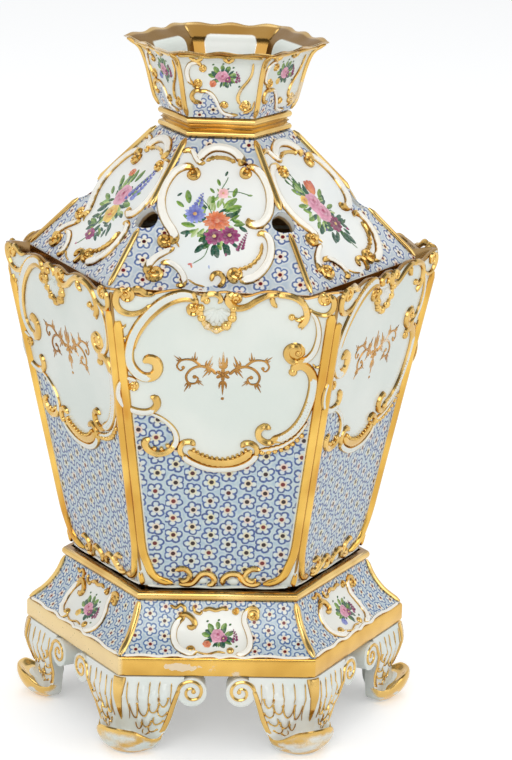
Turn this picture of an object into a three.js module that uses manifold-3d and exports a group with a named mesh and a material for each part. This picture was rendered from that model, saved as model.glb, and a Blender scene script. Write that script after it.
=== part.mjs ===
// A hexagonal porcelain bough pot: a stand on six scroll feet, a tapering pot, and a pierced cover
// with a flaring flower neck. Millimetres, +Z up, origin on the floor at the middle of the stand.
// Radii are measured to the corners of the hexagon. The front panel faces -Y, a corner lies on +X.
import * as THREE from "three";
import { mergeVertices } from "three/addons/utils/BufferGeometryUtils.js";
import Module from "manifold-3d";

const wasm = await Module();
wasm.setup();

// Gaps between pieces that are luted or stand in each other
const SEAT = 0.3;

// Stand: foot height, base band, hollow cavetto, seat and astragal
const FOOT_HEIGHT = 41;
const FOOT_THICK = 9;
const TOE_OUT = 6.5;
const VOLUTE_R = 7.4;
const VOLUTE_DEPTH = 11;
const VOLUTE_SPACING = 23.6;
const VOLUTE_BITE = 2.9;
const BAND_R = 95.4;
const BAND_HEIGHT = 10;
const BAND_WALL = 10;
const CAVETTO_LIP = 0.9;
const CAVETTO_TOP_R = 76;
const CAVETTO_HEIGHT = 23;
const CAVETTO_SAG = 3.1;
const CAVETTO_STEPS = 6;
const STAND_WALL = 6;
const SEAT_RISE = 3;
const SEAT_THICK = 6;
const ASTRAGAL_R = 2.6;
const ASTRAGAL_WIDTH = 4.4;
const ASTRAGAL_OUT = 1.4;

// Pot: foot ring, wall, scalloped rim and the ledge that carries the cover
const POT_FOOT_GAP = 2.4;
const POT_FOOT_HEIGHT = 3.6;
const POT_BASE_OUT = 2.6;
const POT_BASE_HEIGHT = 5.4;
const POT_BASE_FLARE = 2.4;
const POT_RIM_R = 107;
const POT_HEIGHT = 157.8;
const POT_WALL = 5;
const POT_FLOOR = 7;
const RIM_WAVE = 1.6;
const LEDGE_DROP = 5.8;
const LEDGE_WIDTH = 12;
const LEDGE_THICK = 3;
const LEDGE_UNDERCUT = 12;
const REED_WIDTH = 4.6;
const REED_HEIGHT = 1.8;
const REED_GROOVE = 0.5;
const REED_EDGE = 0.3;

// Cover: turned a little in the pot, as it is put on by hand
const COVER_TURN = THREE.MathUtils.degToRad(-4.75);
const COVER_CLEARANCE = 0.6;
const COVER_LIP = 3.9;
const COVER_TOP_R = 33;
const COVER_RISE = 61.2;
const COVER_WALL = 5;
const HOLE_R = 5.9;
const HOLE_UP = 0.465;
const HOLE_MARGIN = 0.6;
const RIB_WIDTH = 1.5;
const RIB_HEIGHT = 1.1;
const RIB_EDGE = 0.4;
const RIB_END_GAP = 0.02;

// Collar and neck
const COLLAR_HEIGHT = 9.4;
const COLLAR_WAIST = 2.6;
const COLLAR_WALL = 4;
const NECK_HEIGHT = 34;
const NECK_WALL = 3.2;
const NECK_INSET = 1.4;
const NECK_RIM_R = 48.7;
const NECK_WAVE = 1;

// Scroll relief on the panels: how wide the main scrolls are and how high they stand
const POT_SCROLL = 4.6;
const POT_RELIEF = 2.6;
const COVER_SCROLL = 4.6;
const COVER_RELIEF = 3;
const STAND_SCROLL = 3.2;
const STAND_RELIEF = 1.8;

// Shares: how narrow a curl's top is and how far it rises over its scroll, how thin a scroll's ends
// get, and how deep the shell's edge is notched and its crown stands
const CURL_TOP = 0.55;
const CURL_RISE = 1.1;
const SCROLL_END = 0.6;
const SHELL_NOTCH = 0.88;
const SHELL_CROWN = 0.7;

// Glaze and gold
const WHITE_GLAZE = { color: 0xe6ebe6, roughness: 0.12, metalness: 0 };
const BLUE_DIAPER = { color: 0xb9cbe4, roughness: 0.15, metalness: 0 };
const GILDING = { color: 0xd9a441, roughness: 0.22, metalness: 1 };

const SIDES = 6;
const SIDE_TURN = (2 * Math.PI) / SIDES;
const HALF_TURN = SIDE_TURN / 2;
const COS_HALF = Math.cos(HALF_TURN);
const SIN_HALF = Math.sin(HALF_TURN);

// Heights and radii that follow from the sizes above
const bandTop = FOOT_HEIGHT + BAND_HEIGHT;
const cavettoTop = bandTop + CAVETTO_HEIGHT;
const seatZ = cavettoTop + SEAT_RISE;
const astragalOutR = CAVETTO_TOP_R + ASTRAGAL_OUT;
const seatR = astragalOutR - ASTRAGAL_WIDTH;
const potFootR = seatR - POT_FOOT_GAP;
const potZ = seatZ + SEAT;
const potBaseZ = potZ + POT_FOOT_HEIGHT;
const panelLowZ = potBaseZ + POT_BASE_HEIGHT;
const panelLowR = potFootR + POT_BASE_OUT + POT_BASE_FLARE;
const rimZ = potZ + POT_HEIGHT;
const ledgeZ = rimZ - LEDGE_DROP;
const inset = (wall) => wall / COS_HALF;
const potRAt = (z) => panelLowR + ((POT_RIM_R - panelLowR) * (z - panelLowZ)) / (rimZ - panelLowZ);
const coverZ = ledgeZ + SEAT;
const slopeZ = coverZ + COVER_LIP;
const pocketHalfWidth = (potRAt(coverZ) - inset(POT_WALL)) * COS_HALF - COVER_CLEARANCE;
const coverRimR = pocketHalfWidth / Math.cos(HALF_TURN - Math.abs(COVER_TURN));
const coverTopZ = slopeZ + COVER_RISE;
const collarZ = coverTopZ + SEAT;
const neckZ = collarZ + COLLAR_HEIGHT + SEAT;

// Shape helpers

const at = (radius, angle, z) =>
  new THREE.Vector3(radius * Math.cos(angle), radius * Math.sin(angle), z);

// A hexagon, with more points a side where its edge waves up and down three times a side.
function hexagon(radius, z, pointsPerSide = 1, wave = 0) {
  const ring = [];
  for (let side = 0; side < SIDES; side++) {
    const from = at(radius, side * SIDE_TURN, z);
    const to = at(radius, (side + 1) * SIDE_TURN, z);
    for (let i = 0; i < pointsPerSide; i++) {
      const share = i / pointsPerSide;
      const point = from.clone().lerp(to, share);
      point.z += wave * Math.cos(6 * Math.PI * share);
      ring.push(point);
    }
  }
  return ring;
}

// Faces between two closed rings that may have different numbers of points.
function bridge(faces, a, aCount, b, bCount) {
  let i = 0;
  let j = 0;
  while (i < aCount || j < bCount) {
    const stepA = j === bCount || (i < aCount && (i + 1) / aCount <= (j + 1) / bCount);
    if (stepA) faces.push([a + (i % aCount), a + ((i + 1) % aCount), b + (j % bCount)]);
    else faces.push([a + (i % aCount), b + ((j + 1) % bCount), b + (j % bCount)]);
    if (stepA) i++;
    else j++;
  }
}

// Triangles that close a flat ring, turned the way the ring runs.
function cap(ring) {
  if (ring.length === 3) return [[0, 1, 2]];
  const outline = ring.map((p) => new THREE.Vector2(p.x, p.y));
  const clockwise = THREE.ShapeUtils.area(outline) < 0;
  return THREE.ShapeUtils.triangulateShape(outline, []).map(([a, b, c]) => {
    const flipped = THREE.ShapeUtils.area([outline[a], outline[b], outline[c]]) < 0 !== clockwise;
    return flipped ? [a, c, b] : [a, b, c];
  });
}

function signedVolume(geometry) {
  const p = geometry.attributes.position;
  const [a, b, c] = [new THREE.Vector3(), new THREE.Vector3(), new THREE.Vector3()];
  let volume = 0;
  for (let i = 0; i < geometry.index.count; i += 3) {
    a.fromBufferAttribute(p, geometry.index.getX(i));
    b.fromBufferAttribute(p, geometry.index.getX(i + 1));
    c.fromBufferAttribute(p, geometry.index.getX(i + 2));
    volume += a.dot(b.cross(c)) / 6;
  }
  return volume;
}

// A closed skin over a row of rings: a tube that meets itself, or one closed at both ends.
function loft(rings, meetsItself = false) {
  const starts = [];
  const points = [];
  for (const ring of rings) {
    starts.push(points.length);
    points.push(...ring);
  }
  const faces = [];
  const bands = meetsItself ? rings.length : rings.length - 1;
  for (let i = 0; i < bands; i++) {
    const next = (i + 1) % rings.length;
    bridge(faces, starts[i], rings[i].length, starts[next], rings[next].length);
  }
  if (!meetsItself) {
    const last = rings.length - 1;
    for (const [a, b, c] of cap(rings[0])) faces.push([a, c, b]);
    for (const face of cap(rings[last])) faces.push(face.map((i) => i + starts[last]));
  }
  const geometry = new THREE.BufferGeometry();
  const numbers = points.flatMap((p) => p.toArray());
  geometry.setAttribute("position", new THREE.Float32BufferAttribute(numbers, 3));
  geometry.setIndex(faces.flat());
  if (signedVolume(geometry) < 0) geometry.setIndex(faces.flatMap(([a, b, c]) => [a, c, b]));
  return geometry;
}

function toSolid(geometry) {
  const bare = new THREE.BufferGeometry().setAttribute("position", geometry.getAttribute("position"));
  if (geometry.index) bare.setIndex(geometry.index);
  const merged = mergeVertices(bare, 1e-4);
  return new wasm.Manifold(
    new wasm.Mesh({
      numProp: 3,
      vertProperties: merged.attributes.position.array,
      triVerts: new Uint32Array(merged.index.array),
    }),
  );
}

function toGeometry(solid) {
  const mesh = solid.getMesh();
  const geometry = new THREE.BufferGeometry();
  geometry.setAttribute("position", new THREE.BufferAttribute(mesh.vertProperties, 3));
  geometry.setIndex(new THREE.BufferAttribute(mesh.triVerts, 1));
  return geometry;
}

function joined(pieces, cuts = []) {
  let solid = pieces.map(toSolid).reduce((all, piece) => all.add(piece));
  for (const cut of cuts) solid = solid.subtract(toSolid(cut));
  return toGeometry(solid);
}

// A plan section that wraps round a corner of the hexagon, from one panel to the next. The corner lies
// on +X. Each outer point is how far it lies along its panel from the corner and how far it stands
// out from the panel; the inner face keeps to one distance from the panels.
function cornerSection(cornerR, z, outer, inner) {
  const point = ([along, out], sign) =>
    new THREE.Vector3(
      cornerR - along * SIN_HALF + out * COS_HALF,
      sign * (along * COS_HALF + out * SIN_HALF),
      z,
    );
  const apex = (out) => new THREE.Vector3(cornerR + out / COS_HALF, 0, z);
  const [middle, ...wing] = outer;
  const reach = wing[wing.length - 1][0];
  return [
    ...wing.map((p) => point(p, -1)).reverse(),
    apex(middle),
    ...wing.map((p) => point(p, 1)),
    point([reach, inner], 1),
    apex(inner),
    point([reach, inner], -1),
  ];
}

// A raised scroll on a flat panel: a three-sided ribbon along a path, widest in the middle.
function scroll(path, width, height) {
  const curve = new THREE.CatmullRomCurve3(path, false, "centripetal");
  const rings = [];
  for (let i = 0; i < path.length; i++) {
    const share = i / (path.length - 1);
    const p = path[i];
    const t = curve.getTangent(share);
    const half = (width / 2) * (SCROLL_END + (1 - SCROLL_END) * Math.sin(Math.PI * share));
    rings.push([
      new THREE.Vector3(p.x - t.y * half, p.y + t.x * half, 0),
      new THREE.Vector3(p.x, p.y, height),
      new THREE.Vector3(p.x + t.y * half, p.y - t.x * half, 0),
    ]);
  }
  return loft(rings);
}

// The curled end of a scroll.
function button(centre, radius, height) {
  const geometry = new THREE.CylinderGeometry(radius * CURL_TOP, radius, height, 6);
  return geometry.rotateX(Math.PI / 2).translate(centre.x, centre.y, height / 2);
}

// A scallop shell that hangs point up, with a wavy lower edge.
function shell(centre, radius, lobes, height) {
  const outline = new THREE.Shape();
  const steps = lobes * 2;
  for (let i = 0; i <= steps; i++) {
    const angle = Math.PI + (Math.PI * i) / steps;
    const r = i % 2 ? radius : radius * SHELL_NOTCH;
    const [x, y] = [centre.x + r * Math.cos(angle), centre.y + r * Math.sin(angle)];
    if (i) outline.lineTo(x, y);
    else outline.moveTo(x, y);
  }
  outline.lineTo(centre.x, centre.y + radius * SHELL_CROWN);
  return new THREE.ExtrudeGeometry(outline, { depth: height, bevelEnabled: false });
}

// Joins the scrolls, buttons and shell of one frame. A frame is drawn on a unit panel: across from -1
// at one corner moulding to 1 at the other, and up from 0 to 1. toPanel gives millimetres. Widths and
// radii are shares of the main scroll's width.
function frame({ scrolls, buttons, shells = [] }, main, relief, toPanel) {
  return joined([
    ...scrolls.map(({ path, width }) => scroll(path.map(toPanel), main * width, relief)),
    ...buttons.map(([x, y, radius]) => button(toPanel([x, y]), main * radius, relief * CURL_RISE)),
    ...shells.map(({ place, radius, lobes }) => shell(toPanel(place), main * radius, lobes, relief)),
  ]);
}

// Turns what is drawn flat on to the leaning panel that faces -Y, a seat's gap off the wall.
function onPanel(geometry, { lowR, lowZ, lean }) {
  return geometry
    .translate(0, 0, SEAT)
    .rotateX(Math.PI / 2 + lean)
    .translate(0, -lowR * COS_HALF, lowZ);
}

// A leaning flat panel between two heights of a hexagonal wall.
function flatPanel(lowR, lowZ, highR, highZ, edge) {
  const out = (highR - lowR) * COS_HALF;
  const length = Math.hypot(out, highZ - lowZ);
  const toPanel = ([x, y]) =>
    new THREE.Vector3(x * ((lowR + (highR - lowR) * y) * SIN_HALF - edge), y * length, 0);
  return { lowR, lowZ, lean: Math.atan2(out, highZ - lowZ), toPanel };
}

// Scroll frames, as they run on each panel

const POT_FRAME = {
  scrolls: [
    {
      width: 1,
      path: [[-0.27, 0.967], [-0.42, 0.974], [-0.61, 0.955], [-0.79, 0.91], [-0.91, 0.85],
        [-0.92, 0.78], [-0.88, 0.725], [-0.8, 0.712], [-0.71, 0.73], [-0.74, 0.757]],
    },
    {
      width: 0.78,
      path: [[-0.88, 0.725], [-0.94, 0.665], [-0.94, 0.63], [-0.9, 0.6], [-0.8, 0.59], [-0.73, 0.61],
        [-0.76, 0.635]],
    },
    {
      width: 0.74,
      path: [[-0.8, 0.59], [-0.61, 0.553], [-0.54, 0.517], [-0.55, 0.48], [-0.66, 0.452],
        [-0.8, 0.446], [-0.89, 0.467]],
    },
    {
      width: 1.3,
      path: [[-0.55, 0.48], [-0.42, 0.464], [-0.3, 0.434], [0, 0.414], [0.3, 0.442], [0.42, 0.478]],
    },
    {
      width: 1.09,
      path: [[0.42, 0.478], [0.52, 0.49], [0.66, 0.507], [0.8, 0.543], [0.91, 0.6], [0.93, 0.66],
        [0.92, 0.708], [0.88, 0.744], [0.79, 0.76]],
    },
    {
      width: 0.87,
      path: [[0.66, 0.79], [0.77, 0.765], [0.86, 0.78], [0.92, 0.82], [0.93, 0.87], [0.9, 0.91],
        [0.845, 0.943]],
    },
    {
      width: 0.74,
      path: [[0.845, 0.943], [0.78, 0.958], [0.6, 0.974], [0.42, 0.968], [0.19, 0.945], [0.09, 0.955],
        [-0.27, 0.967]],
    },
    { width: 0.57, path: [[-0.79, 0.91], [-0.91, 0.925], [-0.955, 0.968]] },
    { width: 0.57, path: [[0.845, 0.943], [0.91, 0.948], [0.955, 0.97]] },
  ],
  buttons: [[-0.3, 0.952, 0.7], [-0.75, 0.76, 0.74], [-0.86, 0.48, 0.61], [-0.41, 0.478, 0.72],
    [0.36, 0.48, 0.72], [0.49, 0.51, 0.76], [0.7, 0.797, 0.87]],
  shells: [{ place: [-0.07, 0.935], radius: 1.85, lobes: 4 }],
};

const COVER_FRAME = {
  scrolls: [
    {
      width: 0.91,
      path: [[-0.52, 0.775], [-0.66, 0.793], [-0.8, 0.78], [-0.88, 0.72], [-0.88, 0.62], [-0.79, 0.53],
        [-0.73, 0.454], [-0.61, 0.393], [-0.51, 0.337], [-0.53, 0.3], [-0.63, 0.29]],
    },
    { width: 0.91, path: [[-0.53, 0.3], [-0.6, 0.24], [-0.7, 0.19], [-0.72, 0.135], [-0.65, 0.09]] },
    { width: 0.74, path: [[-0.6, 0.14], [-0.49, 0.16], [-0.36, 0.129], [-0.29, 0.074], [-0.31, 0.04]] },
    { width: 0.52, path: [[-0.29, 0.074], [-0.14, 0.042], [0, 0.035], [0.1, 0.05], [0.22, 0.1]] },
    {
      width: 0.96,
      path: [[0.53, 0.775], [0.66, 0.808], [0.8, 0.79], [0.88, 0.73], [0.88, 0.62], [0.79, 0.509],
        [0.69, 0.454], [0.57, 0.442]],
    },
    {
      width: 1.13,
      path: [[0.57, 0.442], [0.64, 0.385], [0.73, 0.344], [0.71, 0.27], [0.61, 0.19], [0.475, 0.123],
        [0.34, 0.092], [0.22, 0.1]],
    },
    {
      width: 1,
      path: [[-0.66, 0.793], [-0.48, 0.86], [-0.24, 0.912], [0.12, 0.917], [0.42, 0.885],
        [0.66, 0.808]],
    },
  ],
  buttons: [[-0.55, 0.76, 0.57], [-0.65, 0.315, 0.52], [-0.63, 0.115, 0.7], [0.08, 0.075, 0.61],
    [0.56, 0.765, 0.52], [0.22, 0.11, 0.57]],
};

const STAND_FRAME = {
  scrolls: [
    {
      width: 1,
      path: [[-0.38, 0.72], [-0.45, 0.76], [-0.54, 0.655], [-0.575, 0.46], [-0.56, 0.285],
        [-0.48, 0.14], [-0.35, 0.1]],
    },
    { width: 0.75, path: [[-0.35, 0.1], [-0.14, 0.06], [0, 0.09], [0.14, 0.06], [0.28, 0.09]] },
    {
      width: 0.94,
      path: [[0.28, 0.09], [0.41, 0.14], [0.465, 0.32], [0.44, 0.53], [0.4, 0.71], [0.44, 0.83],
        [0.5, 0.81]],
    },
    { width: 0.75, path: [[-0.45, 0.76], [-0.28, 0.83], [0, 0.87], [0.25, 0.83], [0.4, 0.71]] },
  ],
  buttons: [[-0.35, 0.69, 0.75], [0.49, 0.79, 0.66]],
};

// The curved foot of one reed, drawn on the panel to the right of its corner.
const REED_FOOT = [[-1.075, 0.105], [-1.057, 0.053], [-0.985, 0.023], [-0.885, 0.015]];

// Stand

// The hollow curve of the cavetto, as corner radius and height, from the band up to the seat.
function cavettoCurve() {
  const low = new THREE.Vector2(BAND_R - CAVETTO_LIP, bandTop);
  const high = new THREE.Vector2(CAVETTO_TOP_R, cavettoTop);
  const chord = high.clone().sub(low);
  const inward = new THREE.Vector2(-chord.y, chord.x).normalize();
  const points = [];
  for (let i = 0; i <= CAVETTO_STEPS; i++) {
    const share = i / CAVETTO_STEPS;
    const sag = CAVETTO_SAG * 4 * share * (1 - share);
    points.push(low.clone().addScaledVector(chord, share).addScaledVector(inward, sag));
  }
  return points;
}

const cavetto = cavettoCurve();

function bandGeometry() {
  const innerR = BAND_R - inset(BAND_WALL);
  const rings = [
    hexagon(BAND_R, FOOT_HEIGHT),
    hexagon(BAND_R, bandTop),
    hexagon(innerR, bandTop),
    hexagon(innerR, FOOT_HEIGHT),
  ];
  return loft(rings, true);
}

function cavettoGeometry() {
  const roof = seatZ - SEAT_THICK;
  const inner = cavetto.filter((p) => p.y < roof);
  const roofR = CAVETTO_TOP_R - inset(STAND_WALL);
  return loft([
    hexagon(seatR, seatZ),
    hexagon(seatR, cavettoTop),
    ...cavetto.toReversed().map((p) => hexagon(p.x, p.y)),
    ...inner.map((p) => hexagon(p.x - inset(STAND_WALL), p.y)),
    hexagon(roofR, roof),
  ]);
}

// A half-round roll on the shoulder round the seat.
function astragalGeometry() {
  const innerR = seatR + SEAT;
  const crownR = astragalOutR - ASTRAGAL_R;
  const z = cavettoTop + ASTRAGAL_R;
  const rings = [hexagon(innerR, cavettoTop)];
  const steps = 6;
  for (let i = 0; i <= steps; i++) {
    const angle = -Math.PI / 2 + (Math.PI * i) / steps;
    rings.push(hexagon(crownR + ASTRAGAL_R * Math.cos(angle), z + ASTRAGAL_R * Math.sin(angle)));
  }
  rings.push(hexagon(innerR, z + ASTRAGAL_R));
  return loft(rings, true);
}

// A scroll foot at one corner: two wings that follow the panels up to a volute each, and a toe that
// curls out. Each level is height, how far the wings reach along the panels, how far the corner stands
// out from the band and how thick the wings are, all as shares of their largest size.
function footGeometry() {
  const fullReach = BAND_R * SIN_HALF - VOLUTE_SPACING / 2 - VOLUTE_BITE;
  const levels = [
    [0, 0.24, -0.45, 0.8],
    [0.03, 0.3, 0, 0.95],
    [0.08, 0.455, 0.45, 1],
    [0.16, 0.576, 0.8, 1],
    [0.27, 0.667, 1, 1],
    [0.36, 0.727, 0.55, 0.95],
    [0.42, 0.758, -0.3, 0.9],
    [0.6, 0.848, -0.2, 0.9],
    [0.78, 0.924, 0.2, 1],
    [1, 1, -0.05, 1],
  ];
  const rings = levels.map(([up, reach, out, thick]) => {
    const cornerR = BAND_R + out * TOE_OUT;
    const wing = [reach * fullReach, 0];
    return cornerSection(cornerR, up * FOOT_HEIGHT, [0, wing], -thick * FOOT_THICK);
  });
  const faceOut = BAND_R * COS_HALF;
  const volutes = [-1, 1].map((sign) =>
    new THREE.CylinderGeometry(VOLUTE_R, VOLUTE_R, VOLUTE_DEPTH, 12)
      .translate(0, faceOut - VOLUTE_DEPTH / 2, 0)
      .rotateZ(-Math.PI / 2)
      .translate(0, (-sign * VOLUTE_SPACING) / 2, FOOT_HEIGHT - SEAT - VOLUTE_R)
      .rotateZ(sign * HALF_TURN),
  );
  return joined([loft(rings), ...volutes]);
}

// The outer face of a gilt rib, from its crest to its edge
const ribOuter = [SEAT + RIB_HEIGHT, [RIB_WIDTH, SEAT + RIB_HEIGHT * RIB_EDGE]];

// A rib laid along the corner of the cavetto.
function standRibGeometry() {
  const curve = cavetto.slice(0, -1);
  const sections = curve.map((p, i) => cornerSection(p.x, p.y + (i ? 0 : SEAT), ribOuter, SEAT));
  return loft(sections);
}

// Bends a flat frame on to the cavetto of the panel that faces -Y.
function bendToCavetto(geometry) {
  const curve = cavetto.map((p) => new THREE.Vector2(p.x * COS_HALF, p.y));
  const lengths = [0];
  for (let i = 1; i < curve.length; i++) {
    lengths.push(lengths[i - 1] + curve[i].distanceTo(curve[i - 1]));
  }
  const total = lengths[lengths.length - 1];
  const p = geometry.attributes.position;
  for (let i = 0; i < p.count; i++) {
    const s = THREE.MathUtils.clamp(p.getY(i), 0, 1) * total;
    const k = Math.max(1, lengths.findIndex((length) => length >= s));
    const share = (s - lengths[k - 1]) / (lengths[k] - lengths[k - 1]);
    const point = curve[k - 1].clone().lerp(curve[k], share);
    const along = curve[k].clone().sub(curve[k - 1]).normalize();
    const out = p.getZ(i) + SEAT;
    p.setXYZ(i, p.getX(i), -(point.x + out * along.y), point.y - out * along.x);
  }
  return geometry;
}

function standFrameGeometry() {
  const clearHalf = CAVETTO_TOP_R * SIN_HALF - RIB_WIDTH;
  const length = Math.hypot((BAND_R - CAVETTO_TOP_R) * COS_HALF, CAVETTO_HEIGHT);
  const toPanel = ([x, y]) => new THREE.Vector3(x * clearHalf, y * length, 0);
  const flat = frame(STAND_FRAME, STAND_SCROLL, STAND_RELIEF, toPanel);
  flat.scale(1, 1 / length, 1);
  return bendToCavetto(flat);
}

// Pot

function potGeometry() {
  const innerR = (z) => potRAt(z) - inset(POT_WALL);
  const ledgeR = innerR(ledgeZ) - inset(LEDGE_WIDTH);
  const undersideZ = ledgeZ - LEDGE_THICK;
  const floorZ = potZ + POT_FLOOR;
  return loft([
    hexagon(potFootR, potZ),
    hexagon(potFootR, potBaseZ),
    hexagon(potFootR + POT_BASE_OUT, potBaseZ),
    hexagon(panelLowR, panelLowZ),
    hexagon(POT_RIM_R, rimZ, 12, RIM_WAVE),
    hexagon(POT_RIM_R - inset(POT_WALL), rimZ, 12, RIM_WAVE),
    hexagon(innerR(ledgeZ), ledgeZ),
    hexagon(ledgeR, ledgeZ),
    hexagon(ledgeR, undersideZ),
    hexagon(innerR(undersideZ - LEDGE_UNDERCUT), undersideZ - LEDGE_UNDERCUT),
    hexagon(innerR(panelLowZ + POT_FLOOR), panelLowZ + POT_FLOOR),
    hexagon(innerR(floorZ) - inset(POT_WALL), floorZ),
  ]);
}

const potPanel = flatPanel(panelLowR, panelLowZ, POT_RIM_R, rimZ, REED_WIDTH + SEAT);

// Two reeds with a groove between them, up the corner of the pot. At the bottom they part into two
// feet that curve away along the panels.
function pilasterGeometry() {
  const low = panelLowZ + 2 * REED_WIDTH;
  const high = rimZ - RIM_WAVE - REED_WIDTH;
  const outer = [
    SEAT + REED_HEIGHT * REED_GROOVE,
    [REED_WIDTH / 2, SEAT + REED_HEIGHT],
    [REED_WIDTH, SEAT + REED_HEIGHT * REED_EDGE],
  ];
  const reeds = loft([low, high].map((z) => cornerSection(potRAt(z), z, outer, SEAT)));
  const feet = [1, -1].map((sign) => {
    const path = REED_FOOT.map(([x, y]) => potPanel.toPanel([sign * x, y]));
    const foot = onPanel(scroll(path, REED_WIDTH, REED_HEIGHT), potPanel);
    return foot.rotateZ(Math.PI / 2 + sign * HALF_TURN);
  });
  return joined([reeds, ...feet]);
}

// Cover

const slopeRAt = (share) => coverRimR + (COVER_TOP_R - coverRimR) * share;
const slopeZAt = (share) => slopeZ + COVER_RISE * share;

function coverGeometry() {
  const throatR = COVER_TOP_R - inset(COVER_WALL) - COVER_WALL / 2;
  const innerR = coverRimR - inset(COVER_WALL) - COVER_WALL / 2;
  const wall = loft(
    [
      hexagon(coverRimR, coverZ),
      hexagon(coverRimR, slopeZ),
      hexagon(COVER_TOP_R, coverTopZ),
      hexagon(throatR, coverTopZ),
      hexagon(throatR, coverTopZ - COVER_WALL / 2),
      hexagon(innerR, coverZ),
    ],
    true,
  );
  const ridge = Math.atan2(COVER_RISE, coverRimR - COVER_TOP_R);
  const holes = [];
  for (let corner = 0; corner < SIDES; corner++) {
    holes.push(
      new THREE.CylinderGeometry(HOLE_R, HOLE_R, 6 * COVER_WALL, 12)
        .rotateZ(-ridge)
        .rotateX(Math.PI / 2)
        .translate(slopeRAt(HOLE_UP), 0, slopeZAt(HOLE_UP))
        .rotateZ(corner * SIDE_TURN),
    );
  }
  return joined([wall], holes);
}

// A rib on the ridge between two panels of the cover, over a stretch of the slope.
function coverRibGeometry(from, to) {
  const level = (share) => cornerSection(slopeRAt(share), slopeZAt(share), ribOuter, SEAT);
  return loft([level(from), level(to)]);
}

// Two rolls with a hollow between them.
function collarGeometry() {
  const rollR = (COLLAR_HEIGHT - COLLAR_WAIST) / 4;
  const crownR = COVER_TOP_R - rollR - SEAT;
  const innerR = crownR - inset(COLLAR_WALL);
  const rings = [hexagon(innerR, collarZ)];
  for (const z of [collarZ + rollR, collarZ + COLLAR_HEIGHT - rollR])
    for (let i = 0; i <= 4; i++) {
      const angle = -Math.PI / 2 + (Math.PI * i) / 4;
      rings.push(hexagon(crownR + rollR * Math.cos(angle), z + rollR * Math.sin(angle)));
    }
  rings.push(hexagon(innerR, collarZ + COLLAR_HEIGHT));
  return loft(rings, true);
}

// The neck flares like a bell, with a waved lip. Each step is a share of the height and how much of
// the flare it has reached.
function neckGeometry() {
  const footR = COVER_TOP_R - NECK_INSET;
  const flare = [[0, 0], [0.15, 0.15], [0.35, 0.26], [0.63, 0.41], [0.84, 0.58], [0.92, 0.77], [1, 1]];
  const flareR = NECK_RIM_R - footR;
  const outer = flare.map(([up, out]) => [footR + flareR * out, neckZ + NECK_HEIGHT * up]);
  const isLip = (i) => i === flare.length - 1;
  const ring = (r, z, lip) => (lip ? hexagon(r, z, 6, NECK_WAVE) : hexagon(r, z));
  return loft(
    [
      ...outer.map(([r, z], i) => ring(r, z, isLip(i))),
      ...outer.map(([r, z], i) => ring(r - inset(NECK_WALL), z, isLip(i))).reverse(),
    ],
    true,
  );
}

// Assembly

function piece(parent, name, geometry, finish) {
  const material = new THREE.MeshStandardMaterial({ ...finish, flatShading: true });
  const mesh = new THREE.Mesh(geometry, material);
  mesh.name = name;
  parent.add(mesh);
  return mesh;
}

// Calls build with a group turned to each corner, or to each panel, in turn.
function around(parent, build) {
  for (let side = 0; side < SIDES; side++) {
    const turned = new THREE.Group();
    turned.rotation.z = side * SIDE_TURN;
    parent.add(turned);
    build(turned, side + 1);
  }
}

const boughPot = new THREE.Group();
const stand = new THREE.Group();
const pot = new THREE.Group();
const cover = new THREE.Group();
cover.rotation.z = COVER_TURN;
boughPot.add(stand, pot, cover);

piece(stand, "stand_base_band", bandGeometry(), GILDING);
piece(stand, "stand_cavetto", cavettoGeometry(), BLUE_DIAPER);
piece(stand, "stand_astragal", astragalGeometry(), GILDING);
around(stand, (turned, number) => {
  piece(turned, `foot_${number}`, footGeometry(), WHITE_GLAZE);
  piece(turned, `stand_rib_${number}`, standRibGeometry(), GILDING);
  piece(turned, `stand_frame_${number}`, standFrameGeometry(), WHITE_GLAZE);
});

piece(pot, "pot_wall", potGeometry(), BLUE_DIAPER);
around(pot, (turned, number) => {
  piece(turned, `pot_pilaster_${number}`, pilasterGeometry(), GILDING);
  const relief = frame(POT_FRAME, POT_SCROLL, POT_RELIEF, potPanel.toPanel);
  piece(turned, `pot_frame_${number}`, onPanel(relief, potPanel), WHITE_GLAZE);
});

const coverPanel = flatPanel(coverRimR, slopeZ, COVER_TOP_R, coverTopZ, RIB_WIDTH + SEAT);
const holeReach = (HOLE_R + HOLE_MARGIN) / Math.hypot(COVER_RISE, coverRimR - COVER_TOP_R);
piece(cover, "cover_shell", coverGeometry(), BLUE_DIAPER);
piece(cover, "neck_collar", collarGeometry(), GILDING);
piece(cover, "neck", neckGeometry(), WHITE_GLAZE);
around(cover, (turned, number) => {
  const lowerRib = coverRibGeometry(RIB_END_GAP, HOLE_UP - holeReach);
  const upperRib = coverRibGeometry(HOLE_UP + holeReach, 1 - RIB_END_GAP);
  piece(turned, `cover_rib_lower_${number}`, lowerRib, GILDING);
  piece(turned, `cover_rib_upper_${number}`, upperRib, GILDING);
  const relief = frame(COVER_FRAME, COVER_SCROLL, COVER_RELIEF, coverPanel.toPanel);
  piece(turned, `cover_frame_${number}`, onPanel(relief, coverPanel), WHITE_GLAZE);
});

export default boughPot;
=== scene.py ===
"""Looks of a hexagonal porcelain bough pot: stand, painted pot and pierced cover with a flower neck.

Everything is drawn in millimetres. Relief and painting are drawn on a face laid flat, u across, s up
and h out of it, and are then laid on the leaning or curved face and repeated on all six.
"""

import bisect
import math
import random

import bmesh
import bpy
from mathutils import Matrix, Vector, noise


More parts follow.
